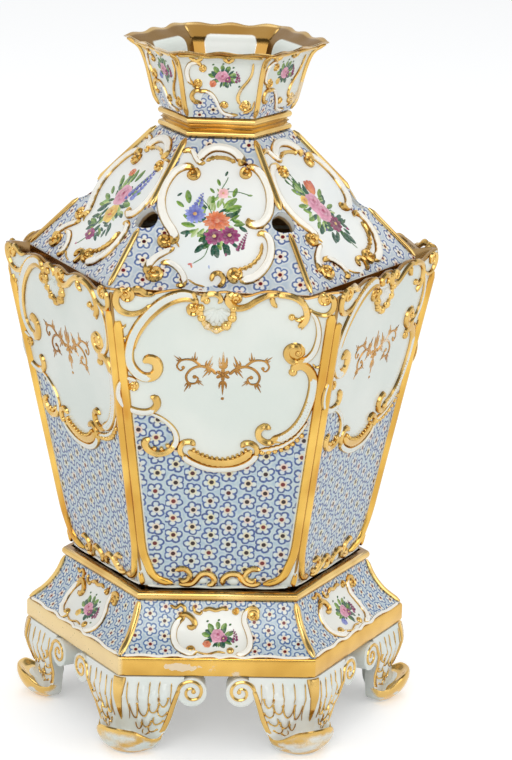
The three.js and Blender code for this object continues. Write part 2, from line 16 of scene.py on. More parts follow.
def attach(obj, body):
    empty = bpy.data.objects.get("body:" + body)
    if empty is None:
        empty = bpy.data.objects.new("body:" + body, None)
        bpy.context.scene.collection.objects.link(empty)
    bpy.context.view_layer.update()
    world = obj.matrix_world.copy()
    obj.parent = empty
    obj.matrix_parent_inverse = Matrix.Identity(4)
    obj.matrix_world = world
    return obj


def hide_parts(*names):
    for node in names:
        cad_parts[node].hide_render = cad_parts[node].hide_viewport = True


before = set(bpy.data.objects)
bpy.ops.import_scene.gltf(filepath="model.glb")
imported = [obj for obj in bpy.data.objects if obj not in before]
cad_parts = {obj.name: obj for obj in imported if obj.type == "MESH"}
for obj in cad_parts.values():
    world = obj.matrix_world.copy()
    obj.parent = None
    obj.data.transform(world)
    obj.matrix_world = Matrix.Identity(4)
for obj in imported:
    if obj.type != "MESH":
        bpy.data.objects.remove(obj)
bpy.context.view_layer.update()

luck = random.Random(11)
MM = 0.001
SIDES = 6
SIDE_TURN = math.tau / SIDES
COS_HALF = math.cos(SIDE_TURN / 2)
TAN_HALF = math.tan(SIDE_TURN / 2)
PAINT_UNIT = 100.0
# How much closer the flowers stand on the side faces than on the front and back
SIDE_FACE_TIGHT = 1.17

# Main sizes, as in the solids. Radii are to the corners of the hexagon.
SEAT = 0.3
FOOT_HEIGHT = 41.0
BAND_R, BAND_TOP, BAND_WALL = 95.4, 51.0, 10.0
SEAT_Z, SEAT_R = 77.0, 73.0
POT_Z, POT_FOOT_R = 77.3, 70.6
RIM_R, RIM_Z = 107.0, 235.1
LEDGE_Z, LEDGE_R = 229.3, 86.1
# Inside the pot's rim: the lip, the groove behind the cover and the inner edge of the gilt ledge
LIP_R, GROOVE_R, GILT_R = 101.4, 99.6, 94.0
POT_INSIDE = ((LEDGE_R, LEDGE_Z - 2.6), (96.5, 214.3), (84.0, 150.0), (74.0, 98.0), (62.0, 86.0),
              (52.0, 84.4), (10.0, 84.3))
COVER_TURN = math.radians(-4.75)
COVER_Z, COVER_RIM_R, SLOPE_Z = 229.6, 95.15, 233.5
COVER_TOP_R, COVER_TOP_Z = 33.0, 294.7
COVER_THICK, THROAT_R, THROAT_Z = 5.0, 27.6, 291.6
COLLAR_Z = 295.0
NECK_LIP = ((50.3, 338.6), (49.9, 338.9), (49.2, 338.85))
NECK_INSIDE = ((46.4, 337.5), (42.2, 335.2), (38.2, 332.4), (35.6, 327.0), (33.9, 320.0), (32.0, 312.0),
               (29.0, 308.0), (28.1, 304.9))
CAVETTO_UNDER = ((30, 71.0), (69.0, 71.0), (77.0, 60.0), (87.0, 51.2))
HOLE_R, HOLE_UP = 5.9, 0.465

# What the finishes read at a corner: below 0 the reserve is flower diaper and above it white, then come
# painted shade on the gilding inside a lip and brown painted shade inside, and gilding has brown painted
# shade where across is past 1
WHITE, LIP_SHADE, INSIDE = 9.0, 18.0, 40.0
PAINTED_GROOVE_SHADE = 1.1
# Where on the reserve's scale the painted shade on the gilding and the brown painted shade inside begin and
# are full
SHADE_FROM, SHADE_FULL = 12.0, 16.0
INSIDE_SHADE_FROM, INSIDE_SHADE_FULL = 20.0, 30.0
# How far solid gilding fades along a scroll, how close its ripples are, and where an edge is sharp
GILT_FADE, RIPPLE = 7.0, 2.6
CREASE = math.radians(38)


# Curves and faces


def curve_through(points, step, closed=False):
    """Places about one step apart on a smooth curve through the points."""
    spots = [Vector(p) for p in points]
    count = len(spots)
    places = []
    for i in range(count if closed else count - 1):
        b, c = spots[i], spots[(i + 1) % count]
        a = spots[i - 1] if closed or i else b * 2 - c
        d = spots[(i + 2) % count] if closed or i + 2 < count else c * 2 - b
        parts = max(2, math.ceil((c - b).length / step))
        for k in range(parts):
            t = k / parts
            places.append((b * 2 + (c - a) * t + (a * 2 - b * 5 + c * 4 - d) * t * t
                           + (b * 3 - a - c * 3 + d) * t**3) / 2)
    if not closed:
        places.append(spots[-1])
    return places


def measured(places):
    """How far each place is along the row of places."""
    run = [0.0]
    for a, b in zip(places, places[1:]):
        run.append(run[-1] + (b - a).length)
    return run


def within(value):
    """The number, kept between 0 and 1."""
    return min(max(value, 0.0), 1.0)


def flipped(path, flip, up=0.0):
    """A path moved up, and mirrored where flip is -1."""
    return [(flip * u, up + s) for u, s in path]


def across_of(i, columns):
    """How far across its side a ring's place is, -1 to 1."""
    return 2 * (i % columns) / columns - 1


class Wall:
    """One of six equal faces, from a profile of corner radius and height."""

    def __init__(self, profile, turn=0.0, step=0.0):
        rows = [Vector((r * COS_HALF, z)) for r, z in profile]
        self.rows = curve_through(rows, step) if step else rows
        self.run = measured(self.rows)
        self.length = self.run[-1]
        self.turn = turn
        steps = [(b - a).normalized() for a, b in zip(self.rows, self.rows[1:])]
        self.leans = [(a + b).normalized() for a, b in zip([steps[0]] + steps, steps + [steps[-1]])]

    def at(self, s):
        """The place and the direction of the profile at arc length s."""
        k = min(max(bisect.bisect_right(self.run, s) - 1, 0), len(self.rows) - 2)
        share = (s - self.run[k]) / (self.run[k + 1] - self.run[k])
        spot = self.rows[k].lerp(self.rows[k + 1], share)
        return spot, self.leans[k].lerp(self.leans[k + 1], within(share)).normalized()

    def place(self, u, s, h=0.0):
        spot, lean = self.at(s)
        spot = spot + Vector((lean.y, -lean.x)) * h
        return Vector((u, -spot.x, spot.y))

    def half(self, s):
        return self.at(s)[0].x * TAN_HALF


def hexagon(radius, z, columns=1, turn=0.0, shape=None):
    """A ring round the hexagon, starting at the left corner of the front face. shape gives each
    place's move outwards and upwards from how far across its side it is, -1 to 1."""
    ring = []
    for k in range(SIDES):
        angle = -math.pi / 2 + k * SIDE_TURN + turn
        out = Vector((math.cos(angle), math.sin(angle), 0))
        along = Vector((-out.y, out.x, 0))
        for i in range(columns):
            across = across_of(i, columns)
            move, rise = shape(across) if shape else (0.0, 0.0)
            ring.append(out * (radius * COS_HALF + move) + along * (radius / 2 * across)
                        + Vector((0, 0, z + rise)))
    return ring


# Mesh making


def drawing():
    """An empty mesh with the numbers that the finishes read at each corner."""
    bm = bmesh.new()
    bm.verts.layers.int.new("place")
    for name in ("across", "gold", "reserve"):
        bm.verts.layers.float.new(name)
    bm.verts.layers.float_color.new("enamel")
    bm.loops.layers.uv.new("face")
    return bm


def grown(out, kind):
    return [g for g in out["geom"] if isinstance(g, kind)]


def loft(bm, rings, marks, meets=False):
    """Skins a row of equal rings by extruding the first through the others. marks gives each ring a
    dict of the numbers to keep there, each one number or one for every place round the ring. The two
    ends are closed, or joined to each other where they meet."""
    place = bm.verts.layers.int["place"]
    verts = bmesh.ops.create_circle(bm, segments=len(rings[0]), radius=1.0)["verts"]
    for i, v in enumerate(verts):
        v[place] = i
    edges = list({e for v in verts for e in v.link_edges})
    first_edges = edges
    for row, ring in enumerate(rings):
        if row:
            out = bmesh.ops.extrude_edge_only(bm, edges=edges)
            verts = grown(out, bmesh.types.BMVert)
            new = set(verts)
            edges = [e for e in grown(out, bmesh.types.BMEdge) if e.verts[0] in new and e.verts[1] in new]
        for v in verts:
            v.co = ring[v[place]]
        for name, kept in marks[row].items():
            layer = bm.verts.layers.float[name]
            for v in verts:
                v[layer] = kept[v[place]] if isinstance(kept, list) else kept
    if meets:
        bmesh.ops.bridge_loops(bm, edges=edges + first_edges)
    else:
        bmesh.ops.contextual_create(bm, geom=first_edges)
        bmesh.ops.contextual_create(bm, geom=edges)


def sweep(bm, path, width, height, swell=(1, 1), ends=(0.3, 0.3), gilt=(0, 0), ripple=0.0, sides=8,
          lift=0.0, sink=0.5, gold=0.0, edges=1.0, closed=False, step=1.4):
    """A rounded bar that follows a path on the flat face. swell scales its width from one end to the
    other, ends rounds its tips, gilt is how many millimetres of each end are solid gold, and edges is
    how far it has the gilt lines and, on gilding, the brown painted shade along its edges."""
    places = [p.to_3d() for p in curve_through([Vector(p) for p in path], step, closed)]
    run = measured(places)
    total = run[-1] or 1.0
    rings, marks = [], []
    last = len(places) - 1
    for i, spot in enumerate(places):
        before = places[i - 1] if i or closed else spot
        after = places[(i + 1) % len(places)] if i < last or closed else spot
        ahead = (after - before).normalized()
        side = Vector((-ahead.y, ahead.x, 0))
        share = run[i] / total
        scale = swell[0] + (swell[1] - swell[0]) * share
        left = (run[i], total - run[i])
        reach = width * 0.6 * scale + 0.01
        tip = 1.0 if closed else min(math.sqrt(min(far / reach + end**2, 1)) for far, end in zip(left, ends))
        wobble = 1 + ripple * math.sin(run[i] * math.tau / RIPPLE)
        half = width / 2 * scale * tip * wobble
        top = height * (0.45 + 0.55 * min(scale, 1)) * (0.35 + 0.65 * tip) * (0.75 + 0.25 * wobble)
        ring = []
        for k in range(sides):
            angle = math.tau * k / sides
            rise = math.sin(angle) * (top if math.sin(angle) > 0 else sink)
            ring.append(spot + side * (math.cos(angle) * half) + Vector((0, 0, lift + rise)))
        rings.append(ring)
        solid = [min((deep - far) / GILT_FADE + 0.6, 1.0) for deep, far in zip(gilt, left) if any(gilt)]
        across = [edges * math.cos(math.tau * k / sides) for k in range(sides)]
        marks.append({"across": across, "gold": max([gold] + solid)})
    loft(bm, rings, marks, closed)


def dome(bm, u, s, radius, height, gold=1.0, stretch=1.0, turn=0.0):
    """A rounded boss on the flat face."""
    lie = Matrix.LocRotScale((u, s, 0), Matrix.Rotation(turn, 3, "Z"), (radius, radius * stretch, height))
    layer = bm.verts.layers.float["gold"]
    for v in bmesh.ops.create_icosphere(bm, subdivisions=2, radius=1.0, matrix=lie)["verts"]:
        v[layer] = gold


# A curl's steps in one turn, and how much of its radius it winds in by
CURL_STEPS, CURL_IN = 12, 0.72


def curl(bm, u, s, radius, start, turns, width, height, knob=1.0):
    """A gilt spiral that winds in from an angle in degrees, clockwise where turns is negative."""
    path = []
    steps = max(6, round(abs(turns) * CURL_STEPS))
    for k in range(steps + 1):
        share = k / steps
        angle = math.radians(start) + turns * math.tau * share
        reach = radius * (1 - CURL_IN * share)
        path.append((u + math.cos(angle) * reach, s + math.sin(angle) * reach))
    dome(bm, u, s, radius * 0.9, height * 0.5)
    sweep(bm, path, width, height, (1, 0.6), gold=1.0, step=0.8)
    dome(bm, *path[-1], knob, height * 1.15)


def add_to(bm, part):
    """Moves all of one drawing into another."""
    carrier = bpy.data.meshes.new("carrier")
    part.to_mesh(carrier)
    part.free()
    bm.from_mesh(carrier)
    bpy.data.meshes.remove(carrier)


def lay(bm, wall):
    """Lays what is drawn flat on the front face."""
    for v in bm.verts:
        v.co = wall.place(*v.co)


def around(bm, turn=0.0):
    """Repeats what is on the front face on every face."""
    front = bm.verts[:] + bm.edges[:] + bm.faces[:]
    for k in range(1, SIDES):
        copy = grown(bmesh.ops.duplicate(bm, geom=front), bmesh.types.BMVert)
        bmesh.ops.rotate(bm, cent=(0, 0, 0), matrix=Matrix.Rotation(k * SIDE_TURN, 3, "Z"), verts=copy)
    bmesh.ops.rotate(bm, cent=(0, 0, 0), matrix=Matrix.Rotation(turn, 3, "Z"), verts=bm.verts)


def face_map(bm, wall):
    """Paints each face in millimetres across and up it, each side on its own stretch."""
    uv = bm.loops.layers.uv["face"]
    for face in bm.faces:
        middle = face.calc_center_median()
        angle = math.atan2(middle.y, middle.x) + math.pi / 2 - wall.turn
        side = round(angle / SIDE_TURN)
        back = Matrix.Rotation(-side * SIDE_TURN - wall.turn, 3, "Z")
        for loop in face.loops:
            spot = back @ loop.vert.co
            away = [abs(row.y - spot.z) for row in wall.rows]
            k = min(away.index(min(away)), len(wall.rows) - 2)
            rise = wall.rows[k + 1].y - wall.rows[k].y
            up = wall.run[k] + (spot.z - wall.rows[k].y) * (wall.run[k + 1] - wall.run[k]) / rise
            tight = 1.0 if side % 3 == 0 else SIDE_FACE_TIGHT
            loop[uv].uv = ((spot.x * tight + side % SIDES * 2 * PAINT_UNIT) / PAINT_UNIT, up / PAINT_UNIT)


def placed(name, bm, finish):
    """An object at the origin with the drawing as its mesh."""
    mesh = bpy.data.meshes.new(name)
    bm.to_mesh(mesh)
    bm.free()
    mesh.materials.append(finish)
    thing = bpy.data.objects.new(name, mesh)
    bpy.context.scene.collection.objects.link(thing)
    return thing


def piece(name, bm, finish, body, nodes=()):
    """Makes a finished object of a drawing and ties it to the frame."""
    bmesh.ops.recalc_face_normals(bm, faces=bm.faces)
    bmesh.ops.scale(bm, vec=(MM, MM, MM), verts=bm.verts)
    for face in bm.faces:
        face.smooth = True
    for edge in bm.edges:
        edge.smooth = edge.calc_face_angle(0.0) < CREASE
    thing = placed(name, bm, finish)
    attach(thing, body)
    if nodes:
        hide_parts(*nodes)


def on_six_faces(name, bm, wall, finish, body, nodes=()):
    """Lays a flat drawing on the front face, repeats it on all six and makes it a gilt piece."""
    lay(bm, wall)
    around(bm, wall.turn)
    piece(name, bm, finish, body, nodes)


def each(stem):
    return [f"{stem}_{k}" for k in range(1, SIDES + 1)]


# Finishes


def tone(red, green, blue):
    """A colour as it is seen, 0 to 255, as the linear one that a shader takes."""
    linear = [(c / 255 / 12.92) if c < 11 else ((c / 255 + 0.055) / 1.055) ** 2.4 for c in (red, green, blue)]
    return (*linear, 1.0)


class Value:
    """A socket that carries a number, so that shader maths reads as Python."""

    def __init__(self, finish, socket):
        self.finish = finish
        self.socket = socket

    def maths(self, operation, *others, clamp=False):
        inputs = dict(enumerate((self, *others)))
        return self.finish.node("ShaderNodeMath", {"operation": operation, "use_clamp": clamp}, inputs)

    def __add__(self, other):
        return self.maths("ADD", other)

    __radd__ = __add__

    def __mul__(self, other):
        return self.maths("MULTIPLY", other)

    __rmul__ = __mul__

    def __sub__(self, other):
        return self.maths("SUBTRACT", other)

    def __rsub__(self, other):
        return self * -1 + other

    def __truediv__(self, other):
        return self.maths("DIVIDE", other)

    def __pow__(self, other):
        return self.maths("POWER", other)

    def __abs__(self):
        return self.maths("ABSOLUTE")

    def floor(self):
        return self.maths("FLOOR")

    def fraction(self):
        return self.maths("FRACT")

    def cosine(self):
        return self.maths("COSINE")

    def most(self, other):
        return self.maths("MAXIMUM", other)

    def least(self, other):
        return self.maths("MINIMUM", other)

    def clamped(self):
        return self.maths("ADD", 0.0, clamp=True)

    def ramp(self, low, high):
        """0 below low to 1 above high, or the other way round where low is the larger."""
        inputs = {"Value": self, "From Min": low, "From Max": high}
        return self.finish.node("ShaderNodeMapRange", {"interpolation_type": "SMOOTHSTEP"}, inputs)


class Finish:
    """A material, or the world's light, being made."""

    def __init__(self, name, kind=bpy.data.materials):
        self.made = kind.new(name)
        self.made.use_nodes = True
        self.tree = self.made.node_tree
        self.tree.nodes.clear()

    def node(self, kind, settings=None, inputs=None, out=0):
        made = self.tree.nodes.new(kind)
        for key, value in (settings or {}).items():
            setattr(made, key, value)
        for key, value in (inputs or {}).items():
            if isinstance(value, Value):
                self.tree.links.new(value.socket, made.inputs[key])
            else:
                made.inputs[key].default_value = value
        return Value(self, made.outputs[out]) if made.outputs else None

    def mix(self, share, low, high):
        return self.node("ShaderNodeMix", {"data_type": "RGBA"}, {0: share, 6: low, 7: high}, out=2)

    def kept(self, name, out="Fac"):
        """A number or colour kept at each corner of the mesh."""
        return self.node("ShaderNodeAttribute", {"attribute_name": name}, out=out)

    def here(self):
        """The place on the object, in metres."""
        return self.node("ShaderNodeTexCoord", out="Object")

    def split(self, kind, inputs):
        """The numbers that a separating node takes out of a place or a colour."""
        return [Value(self, out) for out in self.node(kind, inputs=inputs).socket.node.outputs]

    def noise(self, scale, detail, vector=None):
        """Noise with spots of about 1 / scale metres."""
        inputs = {"Vector": vector or self.here(), "Scale": scale, "Detail": detail}
        return self.node("ShaderNodeTexNoise", inputs=inputs)

    def bump(self, height, distance):
        return self.node("ShaderNodeBump", inputs={"Height": height, "Distance": distance})

    def output(self, shader, kind="ShaderNodeOutputMaterial"):
        self.node(kind, inputs={"Surface": shader})
        return self.made

    def surface(self, inputs):
        return self.output(self.node("ShaderNodeBsdfPrincipled", inputs=inputs))


GOLD_BRIGHT = tone(228, 191, 116)
GOLD_DEEP = tone(206, 167, 94)
RIM_BRIGHT = tone(208, 176, 114)
RIM_DEEP = tone(180, 144, 82)
# painted shade: dark brown laid on the gilding inside the pot's rim and inside the neck
LIP_PAINTED_SHADE = tone(120, 86, 34)
GOLD_RUBBED = tone(228, 214, 190)
# painted shade: brown for grooves and the turned edges of gilt relief
GOLD_PAINTED_SHADE = tone(112, 72, 26)
GLAZE = tone(227, 231, 223)
GLAZE_COOL = tone(217, 224, 216)
GLAZE_WARM = tone(232, 230, 220)
# painted shade: warm brown for the glaze inside the pot and under the cover
INSIDE_PAINTED_SHADE = tone(176, 146, 104)


def gold_paint(fin, wear=0.66, low=GOLD_DEEP, high=GOLD_BRIGHT, worn=0.0):
    """The gilding's colour, how metallic it is and how rough: rubbed here and there, more so where
    worn is above 0, and with brown painted shade in the grooves and along its edges."""
    cloud = fin.noise(40.0, 2.0)
    fine = fin.noise(900.0, 2.0)
    rubbed = (cloud * 0.88 + fine * 0.12 + worn).ramp(wear, wear + 0.05)
    # painted shade: brown where across nears 1, in grooves and along the edges
    groove_shade = abs(fin.kept("across")).ramp(0.8, 1.02)
    colour = fin.mix(cloud.ramp(0.35, 0.65), low, high)
    colour = fin.mix(rubbed * 0.75, colour, GOLD_RUBBED)
    colour = fin.mix(groove_shade * 0.75, colour, GOLD_PAINTED_SHADE)
    metal = 1 - rubbed * 0.6
    rough = fine * 0.08 + 0.15 + rubbed * 0.15
    return colour, metal, rough


def glaze_paint(fin, low, high):
    return fin.mix(fin.noise(28.0, 2.0).ramp(0.3, 0.7), low, high)


def joined_paint(fin, mask, under, colour, metal, rough):
    """Gilding over glaze where the mask is 1."""
    peel = fin.noise(420.0, 1.0)
    return fin.surface({
        "Base Color": fin.mix(mask, under, colour),
        "Metallic": metal * mask,
        "Roughness": rough * mask + (1 - mask) * (peel * 0.06 + 0.13),
        "Normal": fin.bump(peel, 0.04 * MM),
        "IOR": 1.5,
        "Specular IOR Level": 0.5,
    })


def gilded(fin, colour, metal, rough):
    """Gilding with the slow waves of the glaze under it."""
    return fin.surface({
        "Base Color": colour,
        "Metallic": metal,
        "Roughness": rough,
        "Normal": fin.bump(fin.noise(150.0, 1.0), 0.06 * MM),
    })


def gilding_finish(name, wear, low, high):
    fin = Finish(name)
    return gilded(fin, *gold_paint(fin, wear, low, high))


def reed_finish(name):
    """Yellow gilding with brown streaks that run up the corner."""
    fin = Finish(name)
    drawn = fin.node("ShaderNodeMapping", inputs={"Vector": fin.here(), "Scale": (1.0, 1.0, 0.2)})
    streak = fin.noise(80.0, 3.0, drawn).ramp(0.54, 0.7)
    colour, metal, rough = gold_paint(fin, 0.7, tone(208, 162, 76), tone(232, 190, 98))
    return gilded(fin, fin.mix(streak * 0.55, colour, tone(188, 116, 36)), metal, rough)


# How far out the base band's paler left face and its front begin, and the bare place on its front
LEFT_FROM, LEFT_FULL = 80.2, 82.2
FRONT_FROM, FRONT_FULL = 80.5, 81.8
CHIP_X, CHIP_Z, CHIP_WIDE, CHIP_HIGH = -16.8, 46.2, 9.8, 2.1


def band_finish(name):
    """The base's gilding, paler and less metallic all along the face that turns left, and rubbed
    through to the white at one place on the front."""
    fin = Finish(name)
    x, y, z = (part * (1 / MM) for part in fin.split("ShaderNodeSeparateXYZ", {"Vector": fin.here()}))
    on_left = (x * -COS_HALF - y * 0.5).ramp(LEFT_FROM, LEFT_FULL)
    aside, above = (x - CHIP_X) / CHIP_WIDE, (z - CHIP_Z) / CHIP_HIGH
    ragged = fin.noise(330.0, 4.0) * 3.6 - 1.8
    chip = (aside * aside + above * above + ragged).ramp(0.9, 0.5) * y.ramp(-FRONT_FROM, -FRONT_FULL)
    worn = on_left * 0.03 + chip * 0.6
    colour, metal, rough = gold_paint(fin, 0.61, tone(206, 160, 76), tone(226, 182, 94), worn)
    pale = fin.mix(on_left * 0.75, colour, tone(236, 214, 164))
    return gilded(fin, pale, metal * (1 - on_left * 0.35), rough + on_left * 0.1)


# How far to the side the gilding of the feet begins to be fresher, and where it is freshest
FRESH_FROM, FRESH_FULL = 75.0, 92.0
# How strongly a scroll's end has to be marked to be gilt
TIP_GILT = 0.675


def scroll_finish(name, low=GLAZE_COOL, high=GLAZE_WARM, line=0.62, soft=0.15, fresh=0.0):
    """White relief with a gilt line along each edge and solid gold ends. fresh is how much better the
    gilding is kept on the object's left and right."""
    fin = Finish(name)
    across = abs(fin.kept("across"))
    solid = fin.kept("gold")
    if fresh:
        x = fin.split("ShaderNodeSeparateXYZ", {"Vector": fin.here()})[0]
        solid = solid + abs(x).ramp(FRESH_FROM * MM, FRESH_FULL * MM) * solid.ramp(0.2, 0.5) * fresh
    brushy = fin.noise(380.0, 3.0)
    edge = (across + (brushy - 0.5) * 0.2).ramp(line, line + 0.14)
    tips = (solid + across * 0.4 + (brushy - 0.5) * 0.3).ramp(TIP_GILT - soft / 2, TIP_GILT + soft / 2)
    mask = edge.most(tips * solid.ramp(0.05, 0.1)).most(solid.ramp(0.85, 0.95))
    return joined_paint(fin, mask, glaze_paint(fin, low, high), *gold_paint(fin))


# A flower of the diaper in shares of its size: how far out its petals sit, how round they are, its heart
PETAL_OUT, PETAL_ROUND, HEART_ROUND = 0.60, 0.37, 0.54


def diaper_paint(fin, u, s, across, up, flower, colours):
    """Rows of flowers with five round petals and a dark eye, each drawn a little differently: how far
    apart they stand across and up, and how large they are, in millimetres. colours are pairs for the
    ground, the petals, their warm hearts, the outline and the eye."""
    column = (u / across).floor()
    rise = s / up + (column * 0.5).fraction()
    row = rise.floor()
    cell = fin.node("ShaderNodeCombineXYZ", inputs={"X": column, "Y": row})
    luck = fin.node("ShaderNodeTexWhiteNoise", inputs={"Vector": cell}, out="Color")
    red, green, blue = fin.split("ShaderNodeSeparateColor", {"Color": luck})
    x = (u / across - column - 0.5) * across + (red - 0.5) * (across * 0.13)
    y = (rise - row - 0.5) * up + (green - 0.5) * (up * 0.13)
    flat = fin.node("ShaderNodeCombineXYZ", inputs={"X": u, "Y": s})
    shake = fin.noise(0.5, 2.0, flat)
    stroke = fin.noise(0.35, 1.0, flat)
    tint = fin.noise(0.22, 2.0, flat)

    radius = (x * x + y * y) ** 0.5
    turn = y.maths("ARCTAN2", x) + blue * math.tau
    fold = ((turn * (5 / math.tau)).fraction() - 0.5) * (math.tau / 5)
    ahead = radius * fold.cosine() - flower * PETAL_OUT
    aside = radius * fold.maths("SINE")
    petals = (ahead * ahead + aside * aside) ** 0.5 - flower * PETAL_ROUND
    off = petals.least(radius - flower * HEART_ROUND) + (shake - 0.5) * (flower * 0.24)

    shares = (tint.ramp(0.35, 0.65), tint.ramp(0.4, 0.6), green, stroke.ramp(0.35, 0.65), red.ramp(0.6, 0.95))
    ground, petal, heart, outline, eye = (fin.mix(share, *pair) for share, pair in zip(shares, colours))
    inside = off.ramp(flower * 0.02, -flower * 0.06)
    halo = abs(off - flower * 0.23).ramp(flower * 0.14, flower * 0.03)
    warm = radius.ramp(flower * 0.62, flower * 0.28) * ((blue - 0.5) * 0.8 + 0.75).clamped()
    line = abs(off).ramp(flower * 0.16, flower * 0.05) * (stroke * 0.9 + 0.55).clamped()
    colour = fin.mix(halo * 0.45, ground, petal)
    colour = fin.mix(inside, colour, petal)
    colour = fin.mix(warm, colour, heart)
    colour = fin.mix(line, colour, outline)
    return fin.mix(radius.ramp(flower * 0.3, flower * 0.2), colour, eye)


def pairs(*colours):
    return [(tone(*low), tone(*high)) for low, high in colours]


POT_DIAPER = pairs(((168, 188, 200), (184, 200, 204)), ((198, 211, 214), (210, 218, 212)),
                   ((222, 212, 160), (230, 202, 184)), ((38, 56, 118), (80, 102, 154)),
                   ((40, 16, 14), (112, 34, 34)))
COVER_DIAPER = pairs(((182, 196, 208), (200, 208, 212)), ((234, 232, 222), (222, 226, 224)),
                     ((244, 228, 180), (240, 204, 186)), ((58, 80, 140), (100, 122, 168)),
                     ((110, 22, 28), (50, 14, 16)))
STAND_DIAPER = pairs(((170, 190, 204), (188, 202, 210)), ((224, 228, 218), (210, 220, 220)),
                     ((240, 228, 184), (238, 206, 188)), ((54, 84, 142), (92, 124, 170)),
                     ((112, 26, 30), (50, 14, 18)))


def wall_finish(name, across, up, flower, colours, low=GLAZE_COOL, high=GLAZE):
    """A painted wall: flower diaper outside the reserves, white inside them, gold where marked."""
    fin = Finish(name)
    uv = fin.node("ShaderNodeUVMap", {"uv_map": "face"})
    u, s = (part * PAINT_UNIT for part in fin.split("ShaderNodeSeparateXYZ", {"Vector": uv})[:2])
    reserve = fin.kept("reserve")
    gold = fin.kept("gold")
    diaper = diaper_paint(fin, u, s, across, up, flower, colours)
    under = fin.mix(reserve.ramp(-0.4, 0.4), diaper, glaze_paint(fin, low, high))
    # brown painted shade inside the pot and under the cover
    under = fin.mix(reserve.ramp(INSIDE_SHADE_FROM, INSIDE_SHADE_FULL), under, INSIDE_PAINTED_SHADE)
    colour, metal, rough = gold_paint(fin, 0.64, RIM_DEEP, RIM_BRIGHT)
    # painted shade on the gilding inside a lip and inside the neck
    colour = fin.mix(reserve.ramp(SHADE_FROM, SHADE_FULL) * 0.85, colour, LIP_PAINTED_SHADE)
    return joined_paint(fin, gold.ramp(0.4, 0.6), under, colour, metal, rough)


def enamel_finish(name):
    fin = Finish(name)
    colour = fin.kept("enamel", "Color")
    dabs = fin.noise(650.0, 3.0)
    shaded = fin.mix(dabs.ramp(0.4, 0.75) * 0.14, colour, tone(255, 250, 240))
    return fin.surface({"Base Color": shaded, "Roughness": dabs * 0.1 + 0.14,
                        "Normal": fin.bump(dabs, 0.05 * MM)})


gold = gilding_finish("burnished gilding", 0.66, tone(208, 168, 96), tone(234, 200, 128))
band_gold = band_finish("rubbed gilding")
reed_gold = reed_finish("yellow gilding")
painted_gold = gilding_finish("brown matt gilding", 0.62, tone(138, 92, 42), tone(190, 144, 82))
scroll_glaze = scroll_finish("gilt edged scrollwork", line=0.55)
cover_scrolls = scroll_finish("gilt edged white scrollwork", tone(240, 238, 230), tone(250, 246, 234), 0.72)
foot_finish = scroll_finish("gilt and celadon feet", tone(216, 224, 218), tone(230, 232, 226), 2.0, 0.4, 0.34)
pot_paint = wall_finish("pot flower diaper", 8.7, 9.6, 4.45, POT_DIAPER)
cover_paint = wall_finish("cover flower diaper", 9.2, 9.8, 3.9, COVER_DIAPER, tone(232, 236, 234),
                          tone(242, 243, 238))
stand_paint = wall_finish("stand flower diaper", 7.2, 7.4, 3.4, STAND_DIAPER, tone(230, 232, 226),
                          tone(240, 240, 232))
neck_paint = wall_finish("neck flower diaper", 6.8, 6.6, 3.1, COVER_DIAPER, GLAZE_COOL, tone(234, 236, 230))
enamel = enamel_finish("painted enamels")


# Reserves and walls


def signed_distance(outline, u, s):
    """How far a place is inside an outline, or outside it where negative."""
    inside = False
    nearest = 1e9
    spot = Vector((u, s))
    for a, b in zip(outline, outline[1:] + outline[:1]):
        if (a.y > s) != (b.y > s) and u < (b.x - a.x) * (s - a.y) / (b.y - a.y) + a.x:
            inside = not inside
        ab = b - a
        t = within((spot - a).dot(ab) / (ab.length_squared or 1))
        nearest = min(nearest, (a + ab * t - spot).length)
    return min(nearest, WHITE) if inside else -nearest


class Shell:
    """A painted six-sided wall, built up ring by ring. edge gives its waved lip's move outwards and
    upwards from how far across a side a place is."""

    def __init__(self, wall, columns, edge=None):
        self.wall = wall
        self.columns = columns
        self.edge = edge
        self.places = [across_of(i, columns) for i in range(columns * SIDES)]
        self.rings = []
        self.marks = []

    def heights(self, outline, first, last, step):
        """Heights up the face, each with its corner radius, its z and every place's distance inside
        the reserve's outline."""
        outline = [Vector(p) for p in outline]
        rows = max(2, math.ceil((last - first) / step))
        for row in range(rows + 1):
            s = first + (last - first) * row / rows
            half = self.wall.half(s)
            side = [signed_distance(outline, half * across, s) for across in self.places[:self.columns]]
            spot = self.wall.at(s)[0]
            yield s, spot.x / COS_HALF, spot.y, side * SIDES

    def add(self, radius, z, wave=0.0, **kept):
        """One more ring, with the lip's waves as strong as wave says."""
        shape = (lambda across: [part * wave for part in self.edge(across)]) if wave else None
        self.rings.append(hexagon(radius, z, self.columns, self.wall.turn, shape))
        self.marks.append({"reserve": WHITE, "gold": 0.0} | kept)

    def make(self, name, finish, body, node, meets=False, pierced=0.0):
        """Makes it a piece, with stem holes through its ridges where pierced says how thick it is."""
        bm = drawing()
        loft(bm, self.rings, self.marks, meets)
        if pierced:
            pierce(bm, self.wall, pierced)
        face_map(bm, self.wall)
        piece(name, bm, finish, body, [node])


pot_wall = Wall([(72.4, 80.6), (75.2, 88.0), (76.6, 93.6), (RIM_R, RIM_Z)])
cover_wall = Wall([(COVER_RIM_R, SLOPE_Z), (COVER_TOP_R, COVER_TOP_Z)], COVER_TURN)
stand_wall = Wall([(94.4, 51.1), (90.4, 53.9), (86.4, 57.0), (83.0, 60.7), (80.2, 64.7), (77.9, 69.3),
                   (76.1, 73.9)], step=1.5)
neck_wall = Wall([(31.7, 296.0), (31.9, 304.8), (34.2, 309.8), (36.1, 316.6), (38.6, 326.1), (41.6, 333.2),
                  (45.3, 336.2), (50.2, 338.3)], COVER_TURN, step=1.5)

